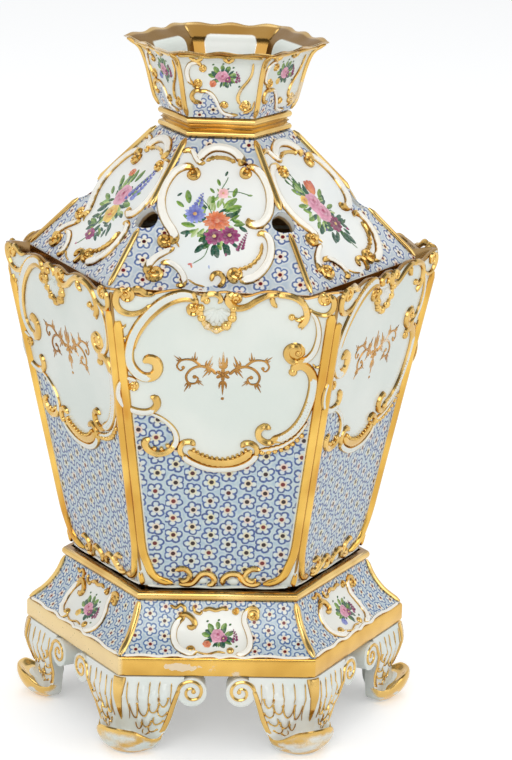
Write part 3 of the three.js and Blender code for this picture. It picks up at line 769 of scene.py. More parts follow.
POT_RESERVE = [(-60, 165), (-60, 97), (-46, 97), (-38, 94.5), (-30, 94), (-25, 90), (-21.8, 85),
               (-20.5, 79), (-18.5, 74), (-14, 69.5), (-7, 66.8), (0, 66), (7, 67), (13, 70), (18, 76),
               (26, 77.5), (33, 82), (38, 88.5), (42, 96), (60, 100), (60, 165)]
COVER_RESERVE = [(-17, 73.5), (-12, 74), (-9, 71), (-6, 75), (0, 76.3), (6, 75), (9.5, 72), (12, 66),
                 (17, 65.5), (21, 62), (24.5, 56), (26, 49), (25.5, 42), (23.5, 37), (20.5, 34),
                 (21, 31), (25, 29), (27, 24), (26.5, 17), (24, 11), (19.5, 7.5), (13, 5.8), (8, 8),
                 (5, 4), (-3, 1.5), (-10, 3.5), (-13, 7), (-16, 12), (-20, 14), (-25, 13.5), (-29.5, 9),
                 (-29.5, 12.5), (-26.5, 16.8), (-21.5, 20.2), (-18, 24), (-18, 27.8), (-20, 31.7),
                 (-23.3, 36), (-25.6, 41), (-26.2, 47), (-25.3, 53.5), (-22.5, 59.5), (-19, 64),
                 (-19, 69)]
STAND_RESERVE = [(-18, 20.5), (-20.5, 16), (-21.2, 11), (-20, 6), (-16, 3), (-12, 0.6), (12, 0.6),
                 (16, 3.5), (17, 9), (16.5, 15), (14, 20), (12, 23.5), (4, 25), (-6, 25), (-11, 24),
                 (-14, 22)]
NECK_RESERVE = [(-40, 60), (-40, 8.5), (-13.5, 8.5), (-13.5, 16.8), (-10, 17.5), (-8, 22.5), (-4, 20.8),
                (-2, 17.5), (0, 14), (3, 12.4), (7, 11.8), (11, 12.6), (14, 13.8), (40, 14), (40, 60)]


# Pot


def pot_rim(across):
    """The rim dips between its scrolls, and its corners are drawn up."""
    u = across * 53.5
    bumps = ((0, 1.1, 5), (22, 1.7, 8), (-22, 1.7, 8), (53.5, 1.6, 7), (-53.5, 1.6, 7), (38, -1.6, 5),
             (-38, -1.6, 5), (10, -1.2, 4), (-10, -0.9, 4))
    return 0.0, sum(lift * math.exp(-(((u - where) / wide) ** 2)) for where, lift, wide in bumps)


def pot_body():
    shell = Shell(pot_wall, 44, pot_rim)
    shell.add(POT_FOOT_R - 14, POT_Z + 1.2)
    shell.add(POT_FOOT_R - 13, POT_Z)
    # The foot, gilt with brown painted shade in the gap above the seat
    for out, up, foot_shade in ((-0.6, 0, PAINTED_GROOVE_SHADE), (0, 0.6, PAINTED_GROOVE_SHADE), (0, 3.0, PAINTED_GROOVE_SHADE), (1.4, 3.4, 0.95)):
        shell.add(POT_FOOT_R + out, POT_Z + up, gold=1.0, across=foot_shade)
    top = pot_wall.length
    for s, radius, z, distances in shell.heights(POT_RESERVE, 0.6, top - 2.6, 2.3):
        half = pot_wall.half(s)
        straps = [max(d, 5.2 - (1 - abs(across)) * half) for d, across in zip(distances, shell.places)]
        seam = [1.0 if across == -1 and s > 9 else 0.0 for across in shell.places]
        shell.add(radius, z, within((s - (top - 16)) / 13.4) ** 2, reserve=straps, gold=seam)
    outer = RIM_R - 0.5
    shell.add(outer - 0.4, RIM_Z - 1.3, 1.0)
    for inwards, down in ((0.2, 1.0), (0.5, 0.3), (1.4, 0.1), (2.6, 0.5), (3.6, 1.8)):
        shell.add(outer - inwards, RIM_Z - down, 1.0, gold=1.0)
    # Painted shade on the gilding inside the rim and on its ledge, with less of it near the corners
    corner = [within((abs(across) - 0.8) * 6) for across in shell.places]
    shade = [LIP_SHADE - 7.0 * bright for bright in corner]
    groove_shade = [PAINTED_GROOVE_SHADE - 0.5 * bright for bright in corner]
    shell.add(LIP_R, RIM_Z - 3.6, 0.5, gold=1.0, reserve=[13.6 - 3.0 * bright for bright in corner])
    shell.add(GROOVE_R + 0.6, LEDGE_Z + 0.5, gold=1.0, reserve=shade)
    shell.add(GROOVE_R, LEDGE_Z, gold=1.0, reserve=shade, across=groove_shade)
    shell.add(GILT_R, LEDGE_Z, gold=1.0, reserve=shade, across=groove_shade)
    shell.add(GILT_R - 0.6, LEDGE_Z)
    shell.add(LEDGE_R + 0.5, LEDGE_Z)
    shell.add(LEDGE_R, LEDGE_Z - 0.5)
    # The inside, brown with painted shade
    for radius, z in POT_INSIDE:
        shell.add(radius, z, reserve=INSIDE)
    shell.make("painted_pot", pot_paint, "pot", "pot_wall")


def pot_pilasters():
    """Two gilt reeds up each corner, which part at the bottom."""
    bm = drawing()
    for sign in (-1, 1):
        top = pot_wall.length - 12.5 + 2.5 * sign
        edge = [(sign * (pot_wall.half(s) - 2.35), s) for s in (top, top * 0.6, 44, 22)]
        foot = flipped(((34.2, 13), (31.6, 6.8), (27.6, 3.4), (22, 2)), sign)
        sweep(bm, edge + foot, 4.7, 2.1, sides=12, swell=(1, 0.9), ends=(0.6, 0.3), gold=1.0, edges=0.88,
              step=3.0)
        sweep(bm, flipped(((36.4, 1), (36.9, 8)), sign), 3.4, 1.6, swell=(1, 0.2), gold=1.0)
    on_six_faces("pot_corner_reeds", bm, pot_wall, reed_gold, "pot", each("pot_pilaster"))


def beads(bm, path, count, radius, height):
    """A row of round bosses along a curve, of about one size."""
    places = curve_through([Vector(p) for p in path], 0.4)
    for i in range(count):
        spot = places[round(i * (len(places) - 1) / max(count - 1, 1))]
        size = radius * luck.uniform(0.85, 1.1)
        dome(bm, spot.x, spot.y, size, height, 1.0, luck.uniform(0.9, 1.15), luck.uniform(0, 3))


def fan(bm, u, s, inner, outer, flutes, first, last, height):
    """White flutes that spread from a point between two angles in degrees, as on a shell."""
    reach, half = (inner + outer) / 2, (outer - inner) / 1.8
    width = math.radians(abs(last - first)) * outer / flutes * 0.52
    for i in range(flutes):
        angle = math.radians(first + (last - first) * (i + 0.5) / flutes)
        dome(bm, u + math.cos(angle) * reach, s + math.sin(angle) * reach, half, height, 0.0,
             width / half, angle)


def pot_frame():
    """The scrolls round a panel's white reserve, with a shell above and a fluted bar below."""
    bm = drawing()
    # Large scroll on the left, with a gilt stripe along its inner edge
    sweep(bm, [(-13, 153.6), (-16, 156), (-20, 156.6), (-26, 154.6), (-32, 150.2), (-37.6, 143.8),
               (-42, 136), (-44, 128.5), (-44, 122), (-41.5, 117), (-37.5, 113.8), (-33, 114),
               (-30.6, 117.4), (-31.4, 121.6), (-34.8, 123), (-37.3, 121.4)], 6.0, 1.7, (0.8, 0.9),
          gilt=(3, 17))
    sweep(bm, [(-12.4, 152), (-14.4, 154), (-19, 154.4), (-25, 152.2), (-30.6, 147.8), (-35.8, 141.8),
               (-39.8, 134.6), (-41.9, 127.6)], 3.6, 1.9, (1, 0.3), gold=1.0)
    curl(bm, -15, 149.2, 3.3, 40, -0.95, 2.9, 2.0)
    beads(bm, [(-22.5, 157.6), (-28, 155.6), (-34.2, 151), (-39.6, 144.6)], 13, 0.5, 1.6)
    # Small scrolls below it
    sweep(bm, [(-40.5, 111.6), (-45, 113.2), (-48.3, 110), (-49, 105), (-47.5, 100.5), (-44, 97.2),
               (-38, 95.3), (-33.3, 96), (-30.7, 99), (-31.4, 102.4), (-33.8, 103.4)], 4.2, 1.7,
          (0.6, 1), gilt=(0, 9))
    curl(bm, -42, 108.6, 2.6, 100, -0.9, 1.9, 1.6)
    sweep(bm, [(-40, 95), (-35, 94.8), (-30, 93), (-25, 89), (-22, 84.6), (-21.4, 80), (-23.6, 75.6)],
          3.4, 1.4, (0.35, 1.15), gold=0.3)
    sweep(bm, [(-22, 78.4), (-25.4, 74.4), (-30.6, 73.4), (-34.8, 75.6), (-36.2, 79.2), (-33.8, 81.6)],
          3.7, 1.8, (0.9, 1.1), gold=1.0)
    beads(bm, [(-31.6, 76.2), (-28, 76.2), (-25.4, 77.8)], 3, 1.2, 1.9)

    # Fluted bar at the bottom
    sweep(bm, [(-18.6, 73.4), (-15.4, 69.8), (-7.5, 66.2), (0, 65.4), (8, 66.4), (14.4, 70),
               (17.5, 74.6)], 3.6, 1.7, gilt=(1, 1))
    sweep(bm, [(-15.6, 75), (-11.4, 72), (-6, 69.6), (0, 68.8), (6, 69.6), (11, 72), (14.6, 75.6)], 4.4, 1.5,
          ripple=0.12, gold=1.0)
    beads(bm, [(-13, 75.6), (-8, 72.7), (0, 71), (7, 72.6), (11.6, 75.8)], 12, 0.95, 2.3)
    sweep(bm, [(-17.6, 71.6), (-19.6, 75), (-18.4, 79), (-14.6, 79.8), (-12.4, 78)], 3.3, 2.0, (0.8, 1),
          gold=1.0)
    sweep(bm, [(16.4, 72.4), (17, 76.4), (14.6, 79.2), (11.2, 79.4), (9.4, 77.4)], 3.3, 2.0, (0.8, 1),
          gold=1.0)

    # Scroll on the lower right with two rows of painted dots
    sweep(bm, [(23.4, 81.4), (28, 82.4), (33.3, 86), (37.8, 92.2), (40.6, 99.5), (42.2, 106.5), (42.5, 113.4),
               (40.5, 118.4), (37, 120.8), (33.9, 120), (32.6, 117.4)], 5.4, 1.7, (0.9, 0.9), gilt=(3, 15))
    sweep(bm, [(25.6, 80.6), (21.4, 80), (17.9, 82.4), (17.6, 86.2), (20.2, 88.6), (23.2, 87.4)], 3.4,
          2.0, gold=1.0)
    dome(bm, 32.8, 117.4, 2.2, 1.9)
    for shift in (0.0, 1.5):
        beads(bm, [(29 - shift, 82.2 + shift), (35.4 - shift, 87.4 + shift),
                   (39.4 - shift, 94.6 + shift), (41.6 - shift, 102)], 15, 0.34, 1.75)
    sweep(bm, [(18, 75.4), (24, 76.6), (30, 79), (36, 83.8), (40.6, 91)], 3.2, 1.2, (1, 0.5), gold=0.5,
          ripple=0.2)
    beads(bm, [(19.4, 74.8), (26, 75.6), (32.6, 78.6), (38, 84)], 8, 1.35, 1.9)

    # Scroll on the upper right
    sweep(bm, [(34, 122.4), (38.6, 123.8), (42, 127.6), (43.8, 133), (44.2, 139), (42.8, 145),
               (40, 149.4)], 3.4, 1.5, (1.2, 0.6), gilt=(4, 0))
    curl(bm, 33.6, 128, 5.4, 285, -0.85, 4.2, 2.0, 1.8)
    sweep(bm, [(24, 157), (29, 156.8), (33.6, 155.2), (37, 152), (38.4, 147.4), (37.4, 143.4),
               (34.6, 140.8)], 3.6, 1.8, (0.9, 1), gold=1.0)
    sweep(bm, [(37.8, 146.6), (34.6, 144.4), (32.4, 145.6)], 2.4, 1.7, (1, 0.8), gold=1.0)
    sweep(bm, [(38, 143.6), (36, 139.4)], 2.0, 1.4, (1, 0.5), gold=1.0)
    dome(bm, 31.4, 145.8, 1.7, 1.9)
    sweep(bm, [(22, 156.4), (22.4, 153), (24.4, 150.8)], 3.0, 1.9, (1, 0.8), gold=1.0)
    sweep(bm, [(25, 157.2), (20, 156.6), (15, 154), (11, 151.2), (6.4, 150), (2.6, 151.8), (1.6, 155),
               (4, 157.8)], 3.8, 1.8, (0.7, 1.1), gold=1.0)
    curl(bm, 5.6, 154.8, 3.0, 200, -0.9, 2.4, 2.1)

    # Shell, with bold lobes along its lip and two leaves above
    fan(bm, -3.5, 150, 1.0, 8.4, 7, 200, 340, 1.3)
    lip = [(-11.2, 150), (-10.6, 145), (-7.7, 140.7), (-3.5, 138.9), (0.7, 140.7), (3.6, 145), (4.2, 149.8)]
    sweep(bm, lip, 3.0, 1.7, gold=1.0, ripple=0.15, step=0.8)
    beads(bm, lip, 7, 2.2, 2.5)
    sweep(bm, [(-10.8, 153.4), (-8.4, 156.6), (-4, 157), (-1.6, 154.4), (-3, 152.4)], 3.4, 1.8, (1, 0.7),
          gold=1.0)
    dome(bm, -8.4, 153.6, 1.8, 1.9)

    # Bold loops at the top corners
    sweep(bm, [(-34.2, 151.2), (-38.2, 147.6), (-43.6, 146.2), (-48.4, 148), (-50.6, 152.4),
               (-49.6, 156.8), (-46, 158.8)], 4.3, 1.8, (0.5, 1), gold=1.0)
    curl(bm, -45.6, 155.6, 3.6, 95, -0.95, 2.8, 1.9, 1.2)
    sweep(bm, [(-43.4, 158.6), (-39.6, 158.8), (-36.6, 156.6), (-32.6, 156.4)], 4.2, 1.8, (1, 0.5), gold=1.0)
    sweep(bm, [(38.4, 150.8), (42.4, 148), (47.2, 147.2), (50.2, 149.8), (50.8, 154.2), (48.6, 157.4)],
          3.0, 1.7, (0.5, 1.2), gold=1.0)
    curl(bm, 46.6, 154.8, 3.4, 80, 0.85, 2.2, 1.8, 0.9)
    for u, s, turn in ((-47.4, 141, 1), (-46.6, 135.4, 1), (43.8, 121.8, -1)):
        sweep(bm, [(u - 1.8 * turn, s + 1.6), (u - 1.6 * turn, s - 1), (u + 0.6 * turn, s - 1.6),
                   (u + 1.8 * turn, s)], 1.3, 1.0, gold=1.0)
    on_six_faces("pot_panel_scrolls", bm, pot_wall, scroll_glaze, "pot", each("pot_frame"))


def pot_foot_scrolls():
    """Small scrolls along the lower edge of each panel."""
    bm = drawing()
    sweep(bm, [(-20.8, 9.6), (-16.8, 10.6), (-13.8, 8), (-14.4, 4.4), (-17.4, 3.2), (-18.8, 5)], 3.0,
          1.7, gold=1.0)
    sweep(bm, [(-19, 1.6), (-14, 1.4), (-11.4, 2.8), (-8, 7.4), (-4.6, 7.8), (-1.8, 5), (-2.4, 1.8),
               (-5, 1)], 3.4, 1.7, gold=1.0)
    dome(bm, -7.4, 3.6, 2.6, 1.1, gold=0.0, stretch=0.8)
    sweep(bm, [(2.4, 1), (2.6, 4.8), (5.8, 7.6), (10, 7.2), (12.6, 3.2), (16.6, 1.4), (21, 2.4)], 3.4,
          1.7, gold=1.0)
    dome(bm, 7.6, 3.2, 2.8, 1.1, gold=0.0, stretch=0.8)
    sweep(bm, [(20.6, 10.4), (16.4, 10.8), (13.4, 8), (14, 4.6), (16.8, 3.4), (18.4, 5.2)], 3.0, 1.7,
          gold=1.0)
    sweep(bm, [(-34, 0.4), (-24, -0.4), (-12, 0), (0, -0.6), (12, 0), (24, -0.5), (34, 0.4)], 1.4, 0.9,
          edges=0.0)
    on_six_faces("pot_edge_scrolls", bm, pot_wall, scroll_glaze, "pot")


def acanthus(bm, u, s, length, turn, fingers=(-42, 0, 42)):
    """A leaf of tapering fingers that spread from a point, turned in degrees."""
    for lean in fingers:
        angle, reach = math.radians(turn + lean), length * (1 - abs(lean) / 100)
        bend = angle - math.radians(lean) * 0.45
        path = [(u, s), (u + math.cos(angle) * reach * 0.5, s + math.sin(angle) * reach * 0.5),
                (u + math.cos(bend) * reach, s + math.sin(bend) * reach)]
        sweep(bm, path, length * 0.27, 0.4, (1, 0.15), gold=1.0, sides=6, step=0.9)


def arabesque():
    """A brown gilt flower with leafy scrolls to either side, in the middle of each panel of the pot."""
    bm = drawing()
    middle = 115.5
    for k in range(6):
        angle = (k + 0.5) * math.tau / 6
        dome(bm, math.cos(angle) * 2.1, middle + math.sin(angle) * 2.1, 1.5, 0.35, 1.0, 0.62, angle)
    dome(bm, 0, middle, 0.9, 0.6)
    acanthus(bm, 0, middle + 3.4, 8.6, 90, (-62, -31, 0, 31, 62))
    acanthus(bm, 0, middle - 3.4, 7.4, -90, (-40, 0, 40))
    dome(bm, 0, middle - 12.6, 0.8, 0.4)
    lower = ((3, 0), (6, 2.8), (10.4, 4.2), (14.8, 2.6), (17.2, -1), (16.2, -4.4), (13, -4.8), (11.6, -2.4),
             (13.2, -0.8))
    upper = ((10.4, 4.4), (14.6, 7.4), (19.4, 7.2), (21.6, 4.2), (20, 1.8), (18.2, 3))
    for flip in (-1, 1):
        for path, width, height in ((lower, 1.3, 0.45), (upper, 1.1, 0.4)):
            sweep(bm, flipped(path, flip, middle), width, height, (1.3, 0.7), gold=1.0, sides=6, step=0.9)
        dome(bm, flip * 13.3, middle - 1.4, 1.0, 0.5)
        dome(bm, flip * 18.7, middle + 3.4, 0.9, 0.5)
        for u, s, length, turn in ((7.4, 3.6, 6.6, 112), (13.6, 6.6, 5.2, 96), (19.8, 6.8, 4.4, 40),
                                   (15.6, -4.6, 5.4, -62), (6.2, 2.6, 5.6, -52), (11.8, -3.6, 3.8, -140)):
            acanthus(bm, flip * u, middle + s, length, turn if flip > 0 else 180 - turn)
    on_six_faces("panel_arabesques", bm, pot_wall, painted_gold, "pot")


# Cover


def from_axis(spot, axis, origin):
    """How far a place is from a line."""
    away = spot - origin
    return (away - axis * away.dot(axis)).length


def pierce(bm, wall, thick):
    """Opens the six stem holes on the ridges and joins the outer and inner faces round each."""
    spot, lean = wall.at(wall.length * HOLE_UP)
    facing = Vector((0, -lean.y, -lean.x))
    normals = [Matrix.Rotation(k * SIDE_TURN + wall.turn, 3, "Z") @ facing for k in range(SIDES)]
    for k in range(SIDES):
        angle = -math.pi / 2 + (k + 0.5) * SIDE_TURN + wall.turn
        centre = Vector((math.cos(angle), math.sin(angle), 0)) * spot.x / COS_HALF + Vector((0, 0, spot.y))
        both = (normals[k], normals[(k + 1) % SIDES])
        axis = (both[0] + both[1]).normalized()
        middles = {f: f.calc_center_median() for f in bm.faces}
        faces = [f for f, middle in middles.items()
                 if from_axis(middle, axis, centre) < HOLE_R and (middle - centre).length < thick * 2.8]
        rim = [e for e in {e for f in faces for e in f.edges} if len(set(e.link_faces) & set(faces)) == 1]
        bmesh.ops.delete(bm, geom=faces, context="FACES")
        rim = [e for e in rim if e.is_valid]
        for v in {v for e in rim for v in e.verts}:
            away = v.co - centre
            off = away - axis * away.dot(axis)
            outside = away.dot(axis) > -thick * 0.6 - off.length * 0.3
            base = centre + off.normalized() * HOLE_R
            depth = 0.0 if outside else -thick
            reach = min((depth + (centre - base).dot(n)) / axis.dot(n) for n in both)
            v.co = base + axis * reach
        bmesh.ops.bridge_loops(bm, edges=rim)


def cover_body():
    shell = Shell(cover_wall, 48)
    # The lower edge, gilt with brown painted shade
    for z in (COVER_Z, SLOPE_Z - 1.2):
        shell.add(COVER_RIM_R, z, gold=1.0, across=PAINTED_GROOVE_SHADE)
    for _, radius, z, distances in shell.heights(COVER_RESERVE, 0.4, cover_wall.length, 1.7):
        shell.add(radius, z, reserve=distances)
    shell.add(THROAT_R, COVER_TOP_Z)
    shell.add(THROAT_R, THROAT_Z)
    # The underside, brown with painted shade
    lean = cover_wall.at(0)[1]
    inwards = Vector((-lean.y, lean.x)) * COVER_THICK
    rows = 24
    for row in range(rows + 1):
        sunk = cover_wall.at(cover_wall.length * (1 - row / rows))[0] + inwards
        if SLOPE_Z - 0.5 < sunk.y < THROAT_Z - 0.6:
            shell.add(sunk.x / COS_HALF, sunk.y, reserve=INSIDE)
    for z in (SLOPE_Z - 1.5, COVER_Z):
        shell.add(COVER_RIM_R - COVER_THICK / COS_HALF - 1.0, z, reserve=INSIDE)
    shell.make("painted_cover", cover_paint, "cover", "cover_shell", True, COVER_THICK)


def ridge_bar(bm, wall, first, last, width, height):
    """A gilt rib up the front face's left corner, from one height to another."""
    rings, marks = [], []
    sides = 10
    side = Vector((COS_HALF, -0.5, 0)).normalized()
    steps = max(3, round((last - first) / 2.5))
    for i in range(steps + 1):
        s = first + (last - first) * i / steps
        spot, lean = wall.at(s)
        corner = Vector((-wall.half(s), -spot.x, spot.y))
        out = Vector((-lean.y * TAN_HALF, -lean.y, -lean.x)).normalized()
        tip = min(1.0, 0.45 + 0.55 * math.sqrt(min(i, steps - i)))
        ring = []
        for k in range(sides):
            angle = math.tau * k / sides
            rise = math.sin(angle)
            ring.append(corner + side * (math.cos(angle) * width / 2 * tip)
                        + out * ((rise * height if rise > 0 else rise * 1.2) * tip + 0.1))
        rings.append(ring)
        marks.append({"gold": 1.0})
    loft(bm, rings, marks)


def cover_ribs():
    bm = drawing()
    middle = cover_wall.length * HOLE_UP
    ridge_bar(bm, cover_wall, 0.8, middle - 6.4, 2.8, 1.5)
    ridge_bar(bm, cover_wall, middle + 6.4, cover_wall.length - 0.3, 3.5, 1.6)
    around(bm, COVER_TURN)
    piece("cover_ridge_ribs", bm, gold, "cover", each("cover_rib_lower") + each("cover_rib_upper"))


def cover_frame():
    bm = drawing()
    sweep(bm, [(-9.6, 68.6), (-8, 73), (-4, 76), (0, 76.8), (5, 75.8), (9, 73), (11, 69.4), (9.6, 67.4)],
          4.8, 2.0, gilt=(1, 3))
    sweep(bm, [(-6, 69.2), (-3, 71), (0, 71.3), (4, 70.9), (8, 69)], 1.9, 1.5, ripple=0.35, gold=1.0)
    sweep(bm, [(-17.5, 73.6), (-15, 75), (-12.5, 73.8), (-11, 70.8), (-9, 68.2), (-6.4, 68.2)], 2.8, 1.6,
          gilt=(4, 2))
    sweep(bm, [(-11.4, 65.2), (-15, 66), (-20, 63.4), (-23.6, 58), (-25.6, 52), (-26, 46), (-24.8, 40),
               (-22.4, 35), (-19.8, 31), (-18.4, 27.2), (-19.8, 24)], 5.0, 2.1, (0.8, 1), gilt=(4, 3))
    curl(bm, -12, 61.6, 3.3, 80, -0.95, 2.6, 2.1)
    curl(bm, -23, 26, 3.6, 330, -0.95, 2.9, 2.1)
    sweep(bm, [(-18, 22), (-22, 19.6), (-26.6, 16.4), (-29.8, 12), (-30.2, 7.4)], 4.6, 2.0, (0.6, 1),
          gilt=(2, 4))
    curl(bm, -26, 8.4, 4.2, 185, 0.95, 3.2, 2.2, 1.4)
    sweep(bm, [(-24, 13.6), (-20, 14), (-15.6, 11.2), (-12.6, 6.4), (-13, 2.6), (-16, 2.2)], 3.2, 1.6,
          gilt=(3, 4))
    sweep(bm, [(-10.5, 5.6), (-7, 3.2), (-2.6, 2)], 0.9, 0.7, gold=1.0)
    sweep(bm, [(0.4, 5), (0.8, 8.2), (3.6, 9.4), (6, 7), (5.2, 3.4), (3.4, 2.4)], 2.6, 1.8, gold=0.75)
    sweep(bm, [(13.4, 66.8), (17, 66.4), (21, 62.4), (24.2, 56), (25.6, 49), (25.2, 42), (22.8, 37.4),
               (19.8, 35.6), (16.4, 36.6), (15.8, 38.8)], 4.8, 2.0, (0.8, 1), gilt=(4, 4))
    curl(bm, 13.6, 63, 3.0, 95, 0.95, 2.6, 2.1)
    sweep(bm, [(20.4, 30), (22.6, 31.4), (25.8, 29.2), (27.4, 24), (26.8, 17.4), (23.8, 11.4),
               (19.4, 7.2), (13.6, 5.6)], 5.4, 2.1, (0.6, 0.95), gilt=(4, 1))
    curl(bm, 11.4, 9.2, 4.0, 290, -0.9, 3.0, 2.2, 1.4)
    sweep(bm, [(23, 26), (22.2, 19.4), (18, 13.8), (12.4, 11.2)], 1.8, 1.9, ripple=0.4, gold=1.0)
    sweep(bm, [(-15.8, 22.4), (-18.6, 27)], 1.0, 0.8, gold=1.0)
    on_six_faces("cover_panel_scrolls", bm, cover_wall, cover_scrolls, "cover", each("cover_frame"))


def moulding(name, profile, inner, turn, body, finish, node, columns=2, dark=()):
    """A gilt hexagonal moulding from its outer profile of corner radius and height, and its inner
    radius. dark are the profile's rows in a groove; they and the inner face get brown painted shade."""
    bm = drawing()
    rings = [hexagon(r, z, columns, turn) for r, z in profile]
    rings += [hexagon(inner, profile[-1][1], columns, turn), hexagon(inner, profile[0][1], columns, turn)]
    marks = [{"gold": 1.0, "across": PAINTED_GROOVE_SHADE if i in dark or i >= len(profile) else 0.0}
             for i in range(len(rings))]
    loft(bm, rings, marks, meets=True)
    piece(name, bm, finish, body, [node])


def half_round(radius, low, out, bulge, steps=5):
    """A roll's profile from its lower edge to its upper one, and how far it stands out."""
    angles = [math.pi * i / steps for i in range(steps + 1)]
    return [(out - bulge + bulge * math.sin(angle), low + radius - radius * math.cos(angle))
            for angle in angles]


def collar():
    crown = COVER_TOP_R - SEAT
    waist = ((2.4, 3.8), (2.1, 4.3), (1.4, 4.6), (1.4, 5.0), (2.1, 5.3), (2.4, 5.8))
    profile = half_round(1.7, COLLAR_Z, crown, 1.8)
    profile += [(crown - inwards, COLLAR_Z + up) for inwards, up in waist]
    profile += half_round(1.7, COLLAR_Z + 6.2, crown, 1.8)
    moulding("collar_rolls", profile, THROAT_R - 0.2, COVER_TURN, "cover", gold, "neck_collar",
             dark=(0, 8, 9))


# Neck


# The gilding inside the neck ends at a height and runs down its corners
GILT_LIP_Z, GILT_CORNER, GILT_ROUND = 334.6, 5.6, 5.0
GILT_CORNER_Z, NECK_WAVE_R = 312.0, 43.0


def neck_rim(across):
    """The neck's edge waves and its corners are drawn out."""
    rise = 0.5 * math.cos(math.pi * 3 * across) + 0.3 * math.sin(7 * across + 1)
    return 0.6 * math.cos(math.pi * 3 * across), rise


def neck_body():
    shell = Shell(neck_wall, 24, neck_rim)
    last = neck_wall.length - 0.6
    for s, radius, z, distances in shell.heights(NECK_RESERVE, 9.0, last, 1.6):
        gilt = 1.0 if s > last - 4.2 else 0.0
        shell.add(radius, z, within((s - last + 9) / 9) * 0.8, reserve=distances, gold=gilt)
    for radius, z in NECK_LIP:
        shell.add(radius, z, 0.8, gold=1.0)
    # The gilding inside the neck, darkened with painted shade
    for spot in curve_through(NECK_INSIDE, 1.5):
        below = max(GILT_ROUND - (GILT_LIP_Z - spot.y), 0)
        gilt = []
        for across in shell.places:
            from_corner = (1 - abs(across)) * spot.x / 2
            beside = max(GILT_ROUND - (from_corner - GILT_CORNER), 0) if spot.y > GILT_CORNER_Z else 0
            gilt.append(within(0.5 + (math.hypot(below, beside) - GILT_ROUND) * 0.3))
        shell.add(spot.x, spot.y, 0.25 if spot.x > NECK_WAVE_R else 0.0, gold=gilt, reserve=LIP_SHADE)
    shell.make("painted_neck", neck_paint, "cover", "neck", True)


def neck_scrolls():
    bm = drawing()
    sweep(bm, [(-9.4, 36), (-11.4, 38.2), (-14.6, 37), (-16.2, 33), (-15.6, 29), (-13.4, 26.2)], 2.4,
          1.2, gilt=(3, 2))
    curl(bm, -11, 27, 2.5, 190, 0.9, 1.7, 1.3, 0.9)
    curl(bm, -8.8, 34.4, 2.0, 110, -0.8, 1.5, 1.2, 0.7)
    sweep(bm, [(-9.4, 23.6), (-12.6, 22.8), (-14, 20), (-12.4, 17.4), (-9.8, 17.6)], 2.3, 1.2, gold=1.0)
    sweep(bm, [(-11, 22.6), (-7, 23), (-4, 21), (-2, 17.5), (-0.5, 14), (1, 12), (4, 10.8), (8, 10.8)],
          2.0, 1.1, gilt=(4, 2))
    curl(bm, 1.8, 16, 2.0, 200, -0.9, 1.5, 1.2, 0.7)
    sweep(bm, [(15.4, 38.4), (14.8, 33), (13, 29), (9.6, 24.4), (8, 20), (9, 16.8)], 1.9, 1.1, (0.6, 1),
          gold=0.7)
    curl(bm, 11.8, 16.4, 2.8, 180, 0.95, 2.0, 1.3)
    sweep(bm, [(10.6, 12), (14.6, 14.4), (16, 18.6)], 1.6, 1.0, (1, 0.5), gold=1.0)
    sweep(bm, [(-15, 41.6), (-11.4, 39.4), (-8.4, 41.6)], 2.2, 1.2, gold=1.0)
    sweep(bm, [(1, 41.6), (3.8, 39), (6.4, 41.6)], 2.2, 1.2, gold=1.0)
    sweep(bm, [(-20, 43), (-15, 44), (-11, 43.2), (-6, 42.8), (-1, 43.8), (3.4, 42.8), (8, 44),
               (14, 43.4), (20, 43)], 1.9, 1.0, gold=1.0)
    lay(bm, neck_wall)
    ridge_bar(bm, neck_wall, 9.4, neck_wall.length - 2, 2.5, 1.2)
    around(bm, COVER_TURN)
    piece("neck_relief", bm, cover_scrolls, "cover")


# Stand


def cavetto_body():
    shell = Shell(stand_wall, 40)
    for radius, z in CAVETTO_UNDER:
        shell.add(radius, z)
    for _, radius, z, distances in shell.heights(STAND_RESERVE, 0, stand_wall.length, 1.5):
        shell.add(radius, z, reserve=distances)
    shell.add(SEAT_R, SEAT_Z - 3.0, gold=1.0)
    # The seat's channel, gilt with brown painted shade
    for inwards, down in ((0, 0.4), (0.4, 0), (4.0, 0)):
        shell.add(SEAT_R - inwards, SEAT_Z - down, gold=1.0, across=PAINTED_GROOVE_SHADE)
    shell.add(SEAT_R - 4.6, SEAT_Z)
    shell.add(CAVETTO_UNDER[0][0], SEAT_Z)
    shell.make("painted_cavetto", stand_paint, "stand", "stand_cavetto")


def stand_band():
    low, high = FOOT_HEIGHT + 0.05, BAND_TOP - 0.05
    profile = [(BAND_R - 1.6, low), (BAND_R - 0.5, low + 0.5), (BAND_R, low + 1.6), (BAND_R, high - 1.4),
               (BAND_R - 0.5, high - 0.4), (BAND_R - 1.4, high)]
    inner = BAND_R - BAND_WALL / COS_HALF
    moulding("gilt_base_band", profile, inner, 0, "stand", band_gold, "stand_base_band", columns=6)


def astragal():
    profile = half_round(2.5, SEAT_Z - 2.95, SEAT_R + 4.9, 2.9, 8)
    moulding("seat_roll", profile, SEAT_R + 0.3, 0, "stand", gold, "stand_astragal", dark=(0, 7, 8))


def stand_ribs():
    bm = drawing()
    ridge_bar(bm, stand_wall, 0.6, stand_wall.length - 0.3, 3.6, 1.4)
    around(bm)
    piece("stand_corner_ribs", bm, gold, "stand", each("stand_rib"))


